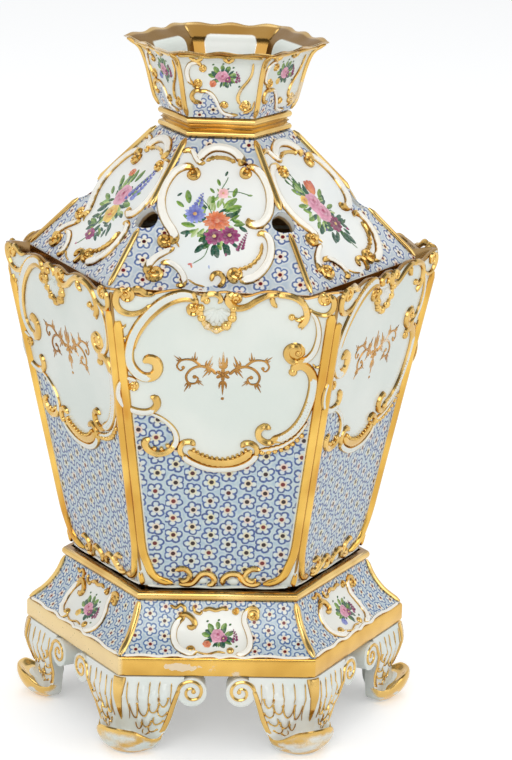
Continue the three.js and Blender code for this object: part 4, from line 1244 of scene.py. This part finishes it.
def stand_frame():
    bm = drawing()
    sweep(bm, [(-23, 26.4), (-20, 25.2), (-18, 26.8), (-15.8, 25), (-16, 22)], 1.8, 1.2, gold=1.0)
    sweep(bm, [(-18.6, 21.6), (-15.4, 22.2), (-12.4, 20.4), (-10.8, 17.4), (-12.4, 15.6), (-14.6, 16.4)],
          3.0, 1.7, gold=1.0)
    sweep(bm, [(-15.6, 21.2), (-18.6, 19), (-20.8, 15), (-21, 9.6), (-18.6, 4.8), (-13.4, 2),
               (-9.6, 3.2)], 3.4, 1.4, gilt=(3, 1))
    curl(bm, 17, 22, 3.0, 300, 0.95, 2.2, 1.7)
    sweep(bm, [(19.6, 21.6), (19, 24.6), (15.8, 25), (13.6, 22.6), (13.2, 18.6), (14.9, 14), (16, 9.6),
               (15.4, 5), (12.4, 2), (9, 1.6)], 3.4, 1.4, (0.8, 1), gilt=(8, 0))
    sweep(bm, [(-7, 23.8), (-4, 25), (-0.8, 24.2), (2.6, 25.2), (5.4, 24.4)], 2.1, 1.2, gold=1.0)
    curl(bm, 8.6, 23.6, 1.8, 90, -0.9, 1.7, 1.5, 0.8)
    sweep(bm, [(-11.6, 26.4), (-11, 23.6), (-8.4, 22.4), (-7.4, 24.2)], 1.7, 1.2, gold=1.0)
    dome(bm, -12.8, 4.2, 2.4, 1.3)
    dome(bm, 6.4, 3.8, 1.9, 1.2)
    sweep(bm, [(-10, 3), (-5, 1.6), (0, 3), (4, 2.4)], 1.1, 0.9, gold=0.7)
    edge = [(-45, 0.4), (-36, 0.9), (-28, 0.1), (-20, 1), (-14, -0.2), (-6, 0.6), (-1, 0.6), (1, -0.2),
            (7, 0.8), (13, -0.2), (19, 0.8), (26, 0.9), (34, 0.1), (45, 0.4)]
    sweep(bm, edge, 1.7, 0.55)
    on_six_faces("stand_panel_scrolls", bm, stand_wall, cover_scrolls, "stand", each("stand_frame"))


# Enamels


def paint(red, green, blue):
    return Vector(tone(red, green, blue)[:3])


LEAF_DARK, LEAF_MID, LEAF_LIGHT = paint(18, 66, 38), paint(56, 110, 36), paint(140, 172, 70)
LEAF_BLUE = paint(38, 98, 78)
GREENS = ((LEAF_DARK, LEAF_MID), (LEAF_DARK, LEAF_BLUE), (paint(18, 66, 46), LEAF_BLUE),
          (LEAF_MID, LEAF_LIGHT), (paint(96, 152, 66), paint(200, 214, 140)),
          (LEAF_LIGHT, paint(216, 226, 186)))
ROSE = ROSE_DARK, ROSE_LIGHT = paint(166, 40, 88), paint(238, 180, 202)
MAGENTA = MAGENTA_DARK, MAGENTA_LIGHT = paint(88, 18, 58), paint(172, 68, 126)
BLUE = BLUE_DARK, BLUE_LIGHT = paint(62, 62, 156), paint(148, 160, 224)
ORANGE = ORANGE_DARK, ORANGE_LIGHT = paint(190, 62, 30), paint(236, 146, 96)
YELLOW = YELLOW_DARK, YELLOW_LIGHT = paint(206, 136, 34), paint(248, 216, 112)
SALMON = paint(238, 150, 150)


def petal(bm, u, s, length, width, turn, base, tip, height=0.3, lift=0.0, split=None):
    """A low petal that starts at a place and points away from it; split colours its second half."""
    verts = bmesh.ops.create_icosphere(bm, subdivisions=2, radius=1.0)["verts"]
    layer = bm.verts.layers.float_color["enamel"]
    shade = luck.uniform(0.86, 1.12)
    lie = Matrix.Translation((u, s, 0)) @ Matrix.Rotation(turn, 4, "Z")
    for v in verts:
        share = (v.co.x + 1) / 2
        colour = base.lerp(tip, share)
        if split and v.co.y > 0.1:
            colour = split.lerp(tip, share * 0.6)
        v[layer] = (*(min(c * shade, 1.0) for c in colour), 1.0)
        taper = 0.75 + 0.25 * math.sin(share * math.pi)
        v.co = lie @ Vector(((v.co.x + 1) * length / 2, v.co.y * width / 2 * taper, v.co.z * height + lift))


def ring_of_petals(bm, u, s, radius, count, base, tip, plump=1.0, flat=1.0, lift=0.1, start=0.0):
    width = math.tau * radius / count * plump
    for k in range(count):
        angle = start + math.tau * k / count + luck.uniform(-0.1, 0.1)
        reach = radius * luck.uniform(0.88, 1.06) * math.hypot(math.cos(angle), math.sin(angle) * flat)
        petal(bm, u, s, reach, width, angle, base, tip, 0.28, lift + 0.03 * (k % 2))


def daisy(bm, u, s, radius, dark, light, eye=YELLOW_DARK, count=12, flat=1.0):
    """A flower with rows of narrow petals round an eye."""
    ring_of_petals(bm, u, s, radius, count, dark, light, 0.95, flat)
    ring_of_petals(bm, u, s, radius * 0.68, count - 2, dark, light.lerp(dark, 0.35), 0.95, flat, 0.22, 0.4)
    petal(bm, u - radius * 0.2, s, radius * 0.42, radius * 0.42, 0, eye,
          eye.lerp(paint(255, 246, 200), 0.4), 0.3, 0.36)


def rose(bm, u, s, radius, dark=ROSE_DARK, light=ROSE_LIGHT):
    """A full rose of cupped petals, dark in its heart."""
    ring_of_petals(bm, u, s, radius, 6, dark, light, 1.05)
    ring_of_petals(bm, u + radius * 0.06, s + radius * 0.08, radius * 0.7, 5, dark,
                   dark.lerp(light, 0.75), 0.95, 1.0, 0.22, 0.5)
    ring_of_petals(bm, u + radius * 0.05, s + radius * 0.14, radius * 0.46, 4, dark, light, 0.9, 1.0,
                   0.34, 0.2)
    petal(bm, u - radius * 0.08, s + radius * 0.14, radius * 0.26, radius * 0.2, 0.8, dark, dark, 0.3, 0.44)


def tulip(bm, u, s, length, turn, dark, light):
    for side, width in ((-0.4, 0.5), (0.4, 0.5), (0.0, 0.58)):
        petal(bm, u, s, length, length * width, turn + side * 0.7, dark if side else light, dark, 0.34,
              0.12 + 0.1 * (side == 0), light)


def spire(bm, path, radius, dark=BLUE_DARK, light=BLUE_LIGHT, count=12):
    """A spike of small bells, wide at its foot."""
    places = curve_through([Vector(p) for p in path], 0.3)
    for i in range(count):
        share = i / (count - 1)
        spot = places[round(share * (len(places) - 1))]
        size = radius * (1.15 - 0.75 * share)
        side = (-1, 1)[i % 2] * size * 0.5
        petal(bm, spot.x + side * 0.4, spot.y, size * 1.3, size, math.pi / 2 - side * 0.9, dark, light,
              0.3, 0.12 + 0.02 * (i % 3))


def leaf(bm, u, s, length, turn, dark=LEAF_DARK, light=LEAF_LIGHT, wide=0.42):
    petal(bm, u, s, length, length * wide, math.radians(turn), dark, dark.lerp(light, 0.45), 0.22, 0.02,
          light)


def stem(bm, *path):
    old = len(bm.verts)
    sweep(bm, path, 0.42, 0.2, sides=6, sink=0.2, lift=0.05, step=1.2)
    bm.verts.ensure_lookup_table()
    layer = bm.verts.layers.float_color["enamel"]
    for v in bm.verts[old:]:
        v[layer] = (*LEAF_MID, 1.0)


def leaves(bm, places, dark=LEAF_MID, light=LEAF_LIGHT):
    for u, s, length, turn in places:
        leaf(bm, u, s, length, turn, dark, light)


def foliage(bm, u, s, across, up, count, length, dark=0):
    """Leaves and blades that spread from behind a bouquet's flowers."""
    for k in range(count):
        angle = math.tau * (k + luck.uniform(-0.3, 0.3)) / count
        reach = luck.uniform(0.3, 0.8)
        low, high = luck.choice(GREENS[:len(GREENS) - dark])
        leaf(bm, u + math.cos(angle) * across * reach, s + math.sin(angle) * up * reach,
             length * luck.uniform(0.7, 1.25), math.degrees(angle) + luck.uniform(-40, 40), low, high,
             luck.uniform(0.26, 0.5))


def aster_bouquet(bm):
    """Blue aster, orange zinnia, two magenta flowers and a spray of leaves."""
    foliage(bm, -0.6, 37, 10.5, 12, 28, 6.6)
    foliage(bm, 2.6, 50.6, 3.6, 4, 6, 3.4)
    foliage(bm, 2, 27, 8, 4, 9, 5.4, 2)
    stem(bm, (-2, 24), (-4, 18), (-9, 14))
    stem(bm, (4, 53), (10, 53), (16, 51.4))
    stem(bm, (0, 50), (4, 58), (5, 61))
    stem(bm, (-8, 50), (-3, 44), (0, 36))
    stem(bm, (8, 44), (4, 40), (1, 34))
    leaves(bm, ((-12.6, 46, 7.5, 100), (-15, 44, 5, 140), (-3, 43, 8, 78), (3.6, 44, 8.5, 42),
                (4, 42.5, 9, 20), (-9, 34, 7, 170), (9, 35, 5.5, 10), (8, 38, 6, -20), (-8, 32, 5, 200),
                (1.4, 56, 4, 110), (8, 50, 5.5, 75), (-1, 52, 3.6, 130)))
    leaves(bm, ((-4, 25, 7, 230), (0.5, 25, 8, 285), (4.5, 25.6, 7.5, 300), (-13.5, 27.8, 3, 60),
                (11.6, 34.6, 5, -35), (3.6, 61.4, 3, 70), (-18.6, 49.8, 3, 40), (-10, 31, 6, 190),
                (6, 25, 6.5, 275)), LEAF_DARK, LEAF_BLUE)
    leaf(bm, 14.6, 51.4, 2.6, 0, LEAF_MID)
    spire(bm, [(-8.6, 43.5), (-7.6, 47), (-6.8, 51)], 1.9, count=10)
    daisy(bm, -9.6, 40.4, 5.4, *BLUE, count=14)
    daisy(bm, 3.2, 52, 3.1, SALMON, paint(250, 214, 214), YELLOW_DARK, 8)
    daisy(bm, 0.2, 28.8, 4.9, *MAGENTA, paint(226, 196, 120), 9)
    daisy(bm, 7.4, 29.6, 5.1, *MAGENTA, paint(206, 176, 96), 10)
    daisy(bm, 1.0, 37, 6.7, *ORANGE, paint(214, 96, 62), 16, 0.8)
    spire(bm, [(12.8, 21.4), (14, 26), (15.4, 30.6)], 1.5, *MAGENTA, 14)
    petal(bm, -11.4, 13.6, 2.4, 1.2, 0.1, ORANGE_DARK, SALMON)
    petal(bm, -9.8, 13.4, 1.8, 1.0, -1.2, *ORANGE)
    petal(bm, 6.2, 20.6, 2.2, 1.2, -1.5, *MAGENTA)
    petal(bm, -1.4, 13.6, 2.2, 0.9, -1.4, BLUE_LIGHT, paint(190, 210, 226))


def rose_bouquet(bm):
    """A large pink rose over a yellow one, with delphinium above and a magenta flower below."""
    foliage(bm, 0, 38, 10, 14, 30, 6.6)
    foliage(bm, -1, 24, 7, 6, 16, 5.8, 2)
    stem(bm, (0, 24), (-3, 16), (-7, 11))
    stem(bm, (4, 42), (9, 54), (12, 60))
    leaves(bm, ((-7, 46, 8, 130), (-1, 50, 8, 100), (8, 45, 7, 20), (-8, 38, 7, 165), (-8, 35, 6, 190),
                (-3, 49, 9, 115), (2, 51, 8, 80), (9, 52, 5, 60), (-9, 41, 6, 140), (-3, 25, 7, 200)))
    leaves(bm, ((-3, 25, 8, 225), (1, 25, 8, 255), (8, 28, 7, 310), (-6, 29, 6, 205), (9, 35, 6, -25),
                (8.4, 24, 5, 285), (10.6, 24, 4, 310)), LEAF_DARK, LEAF_BLUE)
    spire(bm, [(7.6, 42), (10.4, 49), (12.2, 56), (12.4, 62)], 2.7, count=20)
    rose(bm, 0.8, 42.6, 6.6)
    rose(bm, 2.4, 32, 5.6, *YELLOW)
    petal(bm, 1.4, 30.6, 3.4, 1.6, 0.4, *ORANGE, 0.3, 0.44)
    daisy(bm, -1.6, 18.4, 4.4, *MAGENTA, paint(226, 196, 120), 9, 0.8)
    daisy(bm, -6, 55, 2.6, *ORANGE, YELLOW_DARK, 8)
    petal(bm, -8.4, 10.6, 2.2, 1.2, 0.6, *ROSE)


def tulip_bouquet(bm):
    """Orange tulip over pink roses and a dark magenta flower."""
    foliage(bm, -3, 40, 8, 11, 26, 6.2)
    foliage(bm, 2, 28, 7, 6, 14, 6.4, 3)
    for u, s in ((-13.4, 59), (-10.4, 61), (-7, 59)):
        stem(bm, (-4, 44), (u * 0.8, 53), (u, s))
        leaf(bm, u * 0.9, s - 4, 3.4, 120, LEAF_DARK, LEAF_MID)
        leaf(bm, u * 0.82, s - 7, 3.6, 60, LEAF_DARK, LEAF_MID)
        petal(bm, u, s, 1.8, 1.1, 1.9, LEAF_DARK, LEAF_MID)
    stem(bm, (2, 26), (5, 19), (7.6, 14))
    leaves(bm, ((-8, 48, 7, 140), (-6, 50, 7, 110), (3, 44, 7, 40), (-9, 42, 7, 170), (-8, 36, 7, 190),
                (-7, 33, 6, 215), (4, 38, 6, 10), (-9, 38, 6, 150)))
    leaves(bm, ((-6, 31, 8, 215), (-3, 26, 7, 245), (3, 25, 8, 285), (5.6, 32.6, 7, -35),
                (5, 24, 8.6, 296), (5, 42, 4, 60), (7, 29, 5, -50)), LEAF_DARK, LEAF_BLUE)
    tulip(bm, 1.0, 46.4, 8.6, 1.42, *ORANGE)
    rose(bm, -3.0, 42.6, 5.8)
    rose(bm, -0.8, 36.2, 5.9)
    daisy(bm, 2.6, 29.2, 5.0, MAGENTA_DARK, paint(146, 42, 92), paint(200, 150, 80), 10)
    daisy(bm, -8.8, 45.4, 2.8, *YELLOW, ORANGE_DARK, 8)
    petal(bm, -11.4, 50, 1.8, 1.3, 0.3, *BLUE)
    petal(bm, 10.4, 24, 2.4, 1.4, 2.2, *MAGENTA)
    petal(bm, -7.4, 27.4, 2.4, 1.4, 0.4, BLUE_DARK, MAGENTA_DARK)


def small_bouquet(bm, u, s, size, first, second):
    """A rose with a few leaves and buds, for the stand and the neck."""
    foliage(bm, u + size, s - 0.4 * size, 4.6 * size, 3.2 * size, 17, 4.6 * size, 2)
    pale = ((-2, 2, 5, 120), (2, 2.6, 4.6, 60), (0.4, 3.4, 4, 95), (-3.4, 0, 4.6, 165), (3.6, 0.6, 4.4, 15))
    deep = ((-2.4, -2, 4.4, 205), (1, -2.6, 4.6, 300), (2.6, -1.6, 4, 330), (-3, 0.6, 4, 140))
    for places, dark, light in ((pale, LEAF_MID, LEAF_LIGHT), (deep, LEAF_DARK, LEAF_BLUE)):
        for across, up, length, turn in places:
            leaf(bm, u + across * size, s + up * size, length * size, turn, dark, light, 0.62)
    rose(bm, u, s, 3.9 * size)
    daisy(bm, u + 2.9 * size, s - 1.4 * size, 2.3 * size, *MAGENTA, paint(226, 190, 120), 8)
    rose(bm, u - 5.2 * size, s - 4.4 * size, 2.2 * size, first, second)
    spike = [(u + 8.6 * size, s - 3.6 * size), (u + 8.8 * size, s), (u + 7.8 * size, s + 3 * size)]
    spire(bm, spike, 1.3 * size, *MAGENTA, 10)
    for across, up in ((-5.6, 7), (0, 7.6), (5.6, 5.4), (8.8, -6)):
        petal(bm, u + across * size, s + up * size, 1.5 * size, 1.1 * size, 0.6, LEAF_DARK, LEAF_MID)


def bouquets():
    """The flowers of the cover, the neck and the stand, of three kinds that take turns round it."""
    on_neck, on_stand = (small_bouquet, 0.6, 30.6, 0.86), (small_bouquet, 0.2, 11.6, 0.98)
    for name, wall, body, kinds in (
        ("cover_bouquets", cover_wall, "cover", ((aster_bouquet,), (tulip_bouquet,), (rose_bouquet,))),
        ("neck_bouquets", neck_wall, "cover", (on_neck + ORANGE, on_neck + YELLOW, on_neck + BLUE)),
        ("stand_bouquets", stand_wall, "stand", (on_stand + ORANGE, on_stand + BLUE, on_stand + YELLOW)),
    ):
        bm = drawing()
        for side in range(SIDES):
            draw, *measures = kinds[side % len(kinds)]
            part = drawing()
            draw(part, *measures)
            lay(part, wall)
            turn = Matrix.Rotation(side * SIDE_TURN + wall.turn, 3, "Z")
            bmesh.ops.rotate(part, cent=(0, 0, 0), matrix=turn, verts=part.verts)
            add_to(bm, part)
        piece(name, bm, enamel, body)


# Feet

FOOT_ROUND = 9.0


def foot_place(across, z, out, radius):
    """A place on a foot that wraps round the corner lying on +X, across in mm round the bend."""
    arc = FOOT_ROUND * SIDE_TURN / 2
    turn = min(max(across / FOOT_ROUND, -SIDE_TURN / 2), SIDE_TURN / 2)
    beyond = math.copysign(max(abs(across) - arc, 0), across)
    centre = Vector((radius - FOOT_ROUND / COS_HALF, 0, z))
    outwards = Vector((math.cos(turn), math.sin(turn), 0))
    return centre + outwards * (FOOT_ROUND + out) + Vector((-outwards.y, outwards.x, 0)) * beyond


def between(table, z):
    """The value at a height, by straight steps down a table of heights and values."""
    for (high, top), (low, bottom) in zip(table, table[1:]):
        if z >= low:
            return bottom + (top - bottom) * (z - low) / (high - low)
    return table[-1][1]


# The leg's top, the height and number of its plain rows, its columns and how much narrower it is inside
LEG_TOP, LEG_STEP, LEG_ROWS, LEG_COLUMNS, LEG_INSIDE = 40.9, 0.9, 27, 56, 0.93
# Heights down the leg with its corner radius, how far it reaches along each side, and how thick it is
LEG_R = ((LEG_TOP, 95.2), (36, 96.4), (31, 97), (25, 95.4), (19, 93), (15, 92.2), (10, 91.2), (5, 89.4),
         (0, 87.4))
LEG_REACH = ((LEG_TOP, 31.6), (36, 31.4), (30, 29.6), (21.5, 25.8), (13, 21.8), (7.4, 18), (3.4, 13),
             (1.2, 9), (0, 6.4))
LEG_THICK = ((LEG_TOP, 9), (31, 7.4), (23, 6), (9, 5.4), (4, 4.2), (1, 2.2), (0, 1.2))

# The toe curls outwards and up: height at the leg's edges, height at the corner, how far out, gilding
TOE = ((15.6, 14.8, 0.2, 0.0), (13.8, 13.2, 0.8, 0.0), (12.2, 12.0, 1.8, 0.0), (11.0, 11.5, 3.4, 0.2),
       (10.2, 11.9, 5.4, 1.0), (9.7, 13.2, 7.0, 1.0), (9.3, 14.6, 8.2, 1.0), (9.0, 15.5, 9.2, 1.0),
       (8.7, 15.9, 10.1, 1.0), (8.3, 15.4, 11.0, 1.0), (7.7, 14.0, 11.6, 0.8), (6.8, 11.8, 11.7, 0.6),
       (5.8, 9.4, 11.3, 0.55), (4.8, 7.2, 10.6, 0.54), (3.9, 5.2, 9.6, 0.56), (3.0, 3.6, 8.5, 0.62),
       (2.1, 2.4, 7.5, 1.0), (1.3, 1.2, 6.4, 0.8), (0.5, 0.4, 5.0, 0.4), (0.0, 0.0, 3.8, 0.2))
TOE_START = 17.0
# The dip of its lip: where it begins, in how much height it grows, how deep it is and how far aside
DIP_TOP, DIP_FADE, DIP_DEEP, DIP_REACH = 26, 9, 4.6, 19.5

# Leaf lobes on half of a leg: across, height, half length, half width, lean in degrees, relief
LOBES = ((7.4, 29, 9.6, 1.9, 0, 0.9), (12.4, 28.8, 8.2, 2.8, 5, 1.5), (17.4, 28.6, 6.4, 2.6, 10, 1.4),
         (22.4, 31.8, 5.8, 2.5, 8, 1.3), (21.4, 24.0, 4.0, 2.3, 26, 1.4),
         (18.8, 19.0, 3.8, 2.2, 34, 1.4), (13.2, 18.8, 4.6, 2.3, 16, 1.3),
         (16.0, 14.4, 3.4, 2.0, 42, 1.2), (8.8, 17.4, 4.2, 1.6, 4, 1.0), (12.2, 12.4, 2.6, 1.6, 40, 0.9))


def toe_dip(across):
    """The lip of the toe is highest at the corner and lowest just inside the leg's edges."""
    return -DIP_DEEP * math.sin(min((across / DIP_REACH) ** 2, 1) * math.pi)


def dip_at(across, level):
    return toe_dip(across) * within((DIP_TOP - level) / DIP_FADE) * min(level / 12, 1)


def leaf_relief(across, z):
    high = 0.0
    for u, up, length, width, lean, rise in LOBES:
        x, y = abs(across) - u, z - up
        turn = math.radians(lean)
        along, aside = y * math.cos(turn) + x * math.sin(turn), x * math.cos(turn) - y * math.sin(turn)
        d = (along / length) ** 2 + (aside / width) ** 2
        if d < 1:
            high = max(high, rise * (1 - d) ** 0.8)
    return high


def foot_skin(across, z, out=0.0):
    """A place on the leg's outer face, above the toe."""
    level = z - toe_dip(across) * within((DIP_TOP - z) / DIP_FADE)
    relief = leaf_relief(across, z) * within((level - TOE_START) / 2)
    return foot_place(across, z, relief + out, between(LEG_R, level))


def foot_leg(bm):
    rings, marks = [], []
    straight = [LEG_TOP - LEG_STEP * k for k in range(LEG_ROWS)]
    rows = [(z, z, 0.0, 0.0) for z in straight] + list(TOE)
    for edge_z, corner_z, out, gilt in rows:
        reach, radius, thick = (between(table, edge_z) for table in (LEG_REACH, LEG_R, LEG_THICK))
        ring, solid = [], []
        for i in range(LEG_COLUMNS + 1):
            across = reach * (2 * i / LEG_COLUMNS - 1)
            share = max(0.0, 1 - (across / (reach + 2.5)) ** 2)
            z = edge_z + (corner_z - edge_z) * share + dip_at(across, edge_z)
            relief = leaf_relief(across, z) * within((edge_z - TOE_START) / 2)
            ring.append(foot_place(across, z, out * share + relief, radius))
            rub = noise.noise(Vector((across * 0.16, z * 0.3, out * 0.3))) * 0.9 if gilt < 0.65 else 0.0
            solid.append(gilt + rub if gilt else 0.0)
        for i in range(LEG_COLUMNS, -1, -1):
            across = reach * (2 * i / LEG_COLUMNS - 1) * LEG_INSIDE
            ring.append(foot_place(across, edge_z + dip_at(across, edge_z), -thick, radius))
            solid.append(0.0)
        rings.append(ring)
        marks.append({"gold": solid})
    loft(bm, rings, marks)


def foot_gilding(bm):
    """A gilt spine, gilt lines round the foot of each leaf lobe and one down each side of the leg."""
    part = drawing()
    sweep(part, [(0, 40.5), (0, 34), (0, 26), (0, 17.6)], 7.6, 1.7, (1, 0.12), (0.9, 0.3), gold=1.0, step=2)
    veins = ([(4.6, 38.6), (4.6, 30), (5.0, 23), (4.2, 18.4)], [(9.9, 38.6), (9.7, 33), (9.9, 28)],
             [(15.4, 38.6), (15.4, 33), (14.8, 27), (15.4, 22.4)],
             [(20.2, 38.8), (20, 34), (20.6, 28.6)], [(25.8, 38), (26, 33), (25.4, 27)])
    for flip in (-1, 1):
        for path in veins:
            sweep(part, flipped(path, flip), 0.6, 0.4, (1.2, 0.8), gold=1.0, sides=6, lift=0.1, step=1.2)
        for u, up, length, width, lean, _ in LOBES:
            turn = math.radians(lean)
            path = []
            for k in range(7):
                angle = math.radians(188 + 27 * k)
                aside, along = width * 1.02 * math.cos(angle), length * 1.02 * math.sin(angle)
                path.append((flip * (u + along * math.sin(turn) + aside * math.cos(turn)),
                             up + along * math.cos(turn) - aside * math.sin(turn)))
            sweep(part, path, 0.8, 0.5, (0.8, 1.2), gold=1.0, sides=6, lift=0.1, step=0.9)
            dome(part, *path[-1], 0.7, 0.6)
        edge = [(flip * (between(LEG_REACH, z) - 1.5), z) for z in (35.4, 31, 27, 22, 17, 12.4, 9.6)]
        sweep(part, edge, 2.7, 0.8, (0.8, 1), gold=1.0, step=2.0)
    for v in part.verts:
        v.co = foot_skin(v.co.x, v.co.y, v.co.z)
    add_to(bm, part)


# The scroll at each side of a foot: its middle across and up, its size and its turns
VOLUTE_U, VOLUTE_Z, VOLUTE_R, VOLUTE_DEEP, VOLUTE_TURNS = 11.9, 33.5, 7.35, 11.0, 1.45


def volute(bm, flip):
    """A disc on the panel facing -Y with a gilt line wound in to its middle."""
    disc, edge = VOLUTE_R - 0.2, VOLUTE_R - 0.9
    bmesh.ops.create_cone(bm, cap_ends=True, segments=40, radius1=disc, radius2=disc, depth=VOLUTE_DEEP,
                          matrix=Matrix.Translation((0, 0, 0.6 - VOLUTE_DEEP / 2)))
    angles = [k * math.tau / 12 for k in range(12)]
    rim = curve_through([(math.cos(angle) * edge, math.sin(angle) * edge) for angle in angles], 1.2, True)
    sweep(bm, rim, 1.7, 0.75, closed=True, edges=0.0)
    spiral = []
    steps = 20
    for k in range(steps + 1):
        share = k / steps
        angle = math.pi - share * math.tau * VOLUTE_TURNS
        radius = 6.9 - 5.6 * share**0.85
        spiral.append((math.cos(angle) * radius, math.sin(angle) * radius))
    sweep(bm, spiral, 1.9, 1.1, (1.1, 0.8), gold=1.0, lift=0.3)
    dome(bm, spiral[-1][0] * 0.7, spiral[-1][1] * 0.7, 1.3, 1.3)
    face = BAND_R * COS_HALF + 0.35
    for v in bm.verts:
        v.co = Vector((-flip * VOLUTE_U + flip * v.co.x, -face - v.co.z, VOLUTE_Z + v.co.y))


def feet():
    bm = drawing()
    foot_leg(bm)
    foot_gilding(bm)
    for sign in (-1, 1):
        part = drawing()
        volute(part, sign)
        turn = Matrix.Rotation(math.pi / 2 - sign * SIDE_TURN / 2, 3, "Z")
        bmesh.ops.rotate(part, cent=(0, 0, 0), matrix=turn, verts=part.verts)
        add_to(bm, part)
    around(bm)
    piece("scroll_feet", bm, foot_finish, "stand", each("foot"))


for make in (
    pot_body, pot_pilasters, pot_frame, pot_foot_scrolls, arabesque,
    cover_body, cover_ribs, cover_frame, collar, neck_body, neck_scrolls,
    stand_band, cavetto_body, astragal, stand_ribs, stand_frame, feet, bouquets,
):
    make()


# Lights, floor and camera

SKY, CLEAR_WHITE, FLOOR_GREY = (0.97, 0.985, 1.0, 1.0), (1.0, 1.0, 1.0, 1.0), (0.86, 0.86, 0.86, 1.0)
CARD_TONE, CARD_SHADE = (0.9, 0.95, 1.0, 1.0), 0.22
LIT_PLACE = Vector((0, 0, 0.17))


def looked_at(fin):
    """1 where the eye or a reflection looks, or a look goes through something clear, and 0 for light."""
    rays = fin.node("ShaderNodeLightPath").socket.node.outputs
    kinds = ("Camera", "Glossy", "Transmission")
    seen, mirrored, through = (Value(fin, rays[f"Is {kind} Ray"]) for kind in kinds)
    return seen.most(mirrored).most(through)


def studio():
    fin = Finish("pale studio", bpy.data.worlds)
    bpy.context.scene.world = fin.made
    light = fin.node("ShaderNodeBackground", inputs={"Color": SKY, "Strength": 0.62})
    white = fin.node("ShaderNodeBackground", inputs={"Color": CLEAR_WHITE, "Strength": 1.0})
    both = fin.node("ShaderNodeMixShader", inputs={0: looked_at(fin), 1: light, 2: white})
    fin.output(both, "ShaderNodeOutputWorld")
    for name, place, size, watts in (
        ("key softbox", (-0.4, -2.1, 1.4), 1.5, 20.0),
        ("fill softbox", (1.9, -1.1, 1.0), 1.4, 7.0),
        ("top softbox", (0.1, 0.6, 2.2), 1.5, 11.0),
    ):
        lamp = bpy.data.lights.new(name, "AREA")
        lamp.shape = "SQUARE"
        lamp.size = size
        lamp.energy = watts
        holder = bpy.data.objects.new(name, lamp)
        holder.location = place
        holder.rotation_euler = (LIT_PLACE - Vector(place)).to_track_quat("-Z", "Y").to_euler()
        bpy.context.scene.collection.objects.link(holder)


def sheet(name, finish, wide, deep, place=(0, 0, 0), tilt=0.0):
    """A flat sheet of the studio, which is no part of the object."""
    bm = bmesh.new()
    bmesh.ops.create_grid(bm, x_segments=1, y_segments=1, size=0.5)
    bmesh.ops.scale(bm, vec=(wide, deep, 1), verts=bm.verts)
    bmesh.ops.rotate(bm, cent=(0, 0, 0), matrix=Matrix.Rotation(tilt, 3, "X"), verts=bm.verts)
    bmesh.ops.translate(bm, vec=place, verts=bm.verts)
    thing = placed(name, bm, finish)
    return thing


def dark_cards():
    """Dark cards above and in front of the object, seen only in its gilding and glaze."""
    fin = Finish("dark card")
    card = fin.output(fin.node("ShaderNodeEmission", inputs={"Color": CARD_TONE, "Strength": CARD_SHADE}))
    for thing in (
        sheet("card above", card, 5.0, 4.0, (0, 0.2, 3.0)),
        sheet("card in front", card, 6.0, 2.8, (0, -3.4, 1.9), math.pi / 2),
    ):
        thing.visible_camera = False
        thing.visible_diffuse = False
        thing.visible_shadow = False
        thing.visible_transmission = False


def floor():
    fin = Finish("pale floor")
    matt = fin.node("ShaderNodeBsdfDiffuse", inputs={"Color": FLOOR_GREY})
    glow = looked_at(fin) * 0.34
    white = fin.node("ShaderNodeEmission", inputs={"Color": CLEAR_WHITE, "Strength": glow})
    both = fin.node("ShaderNodeAddShader", inputs={0: matt, 1: white})
    sheet("floor", fin.output(both), 24.0, 24.0)


# Where the photograph was taken from, found from the object's own straight edges
CAMERA_AIM = Vector((18.176, 0.0, 167.564))
CAMERA_DISTANCE = 1523.21
CAMERA_TILT = 0.2759
CAMERA_ROLL = math.radians(1.35)
CAMERA_SWING = math.radians(-1.756)
SENSOR = 36.0
FOCAL_PIXELS, PHOTO_HEIGHT = 3058.21, 760.0


def camera():
    ahead = Vector((0, math.cos(CAMERA_TILT), -math.sin(CAMERA_TILT)))
    right = Vector((1, 0, 0))
    up = right.cross(ahead)
    level_right = right * math.cos(CAMERA_ROLL) + up * math.sin(CAMERA_ROLL)
    level_up = up * math.cos(CAMERA_ROLL) - right * math.sin(CAMERA_ROLL)
    place = CAMERA_AIM - ahead * CAMERA_DISTANCE
    axes = Matrix((level_right, level_up, -ahead)).transposed().to_4x4()
    swing = Matrix.Rotation(CAMERA_SWING, 4, "Z")
    lens = bpy.data.cameras.new("camera")
    lens.lens = SENSOR * FOCAL_PIXELS / PHOTO_HEIGHT
    lens.sensor_width = SENSOR
    lens.clip_start = 0.05
    lens.clip_end = 50.0
    eye = bpy.data.objects.new("camera", lens)
    eye.matrix_world = swing @ Matrix.Translation(place * MM) @ axes
    bpy.context.scene.collection.objects.link(eye)
    bpy.context.scene.camera = eye


studio()
dark_cards()
floor()
camera()
bpy.context.scene.view_settings.view_transform = "Standard"
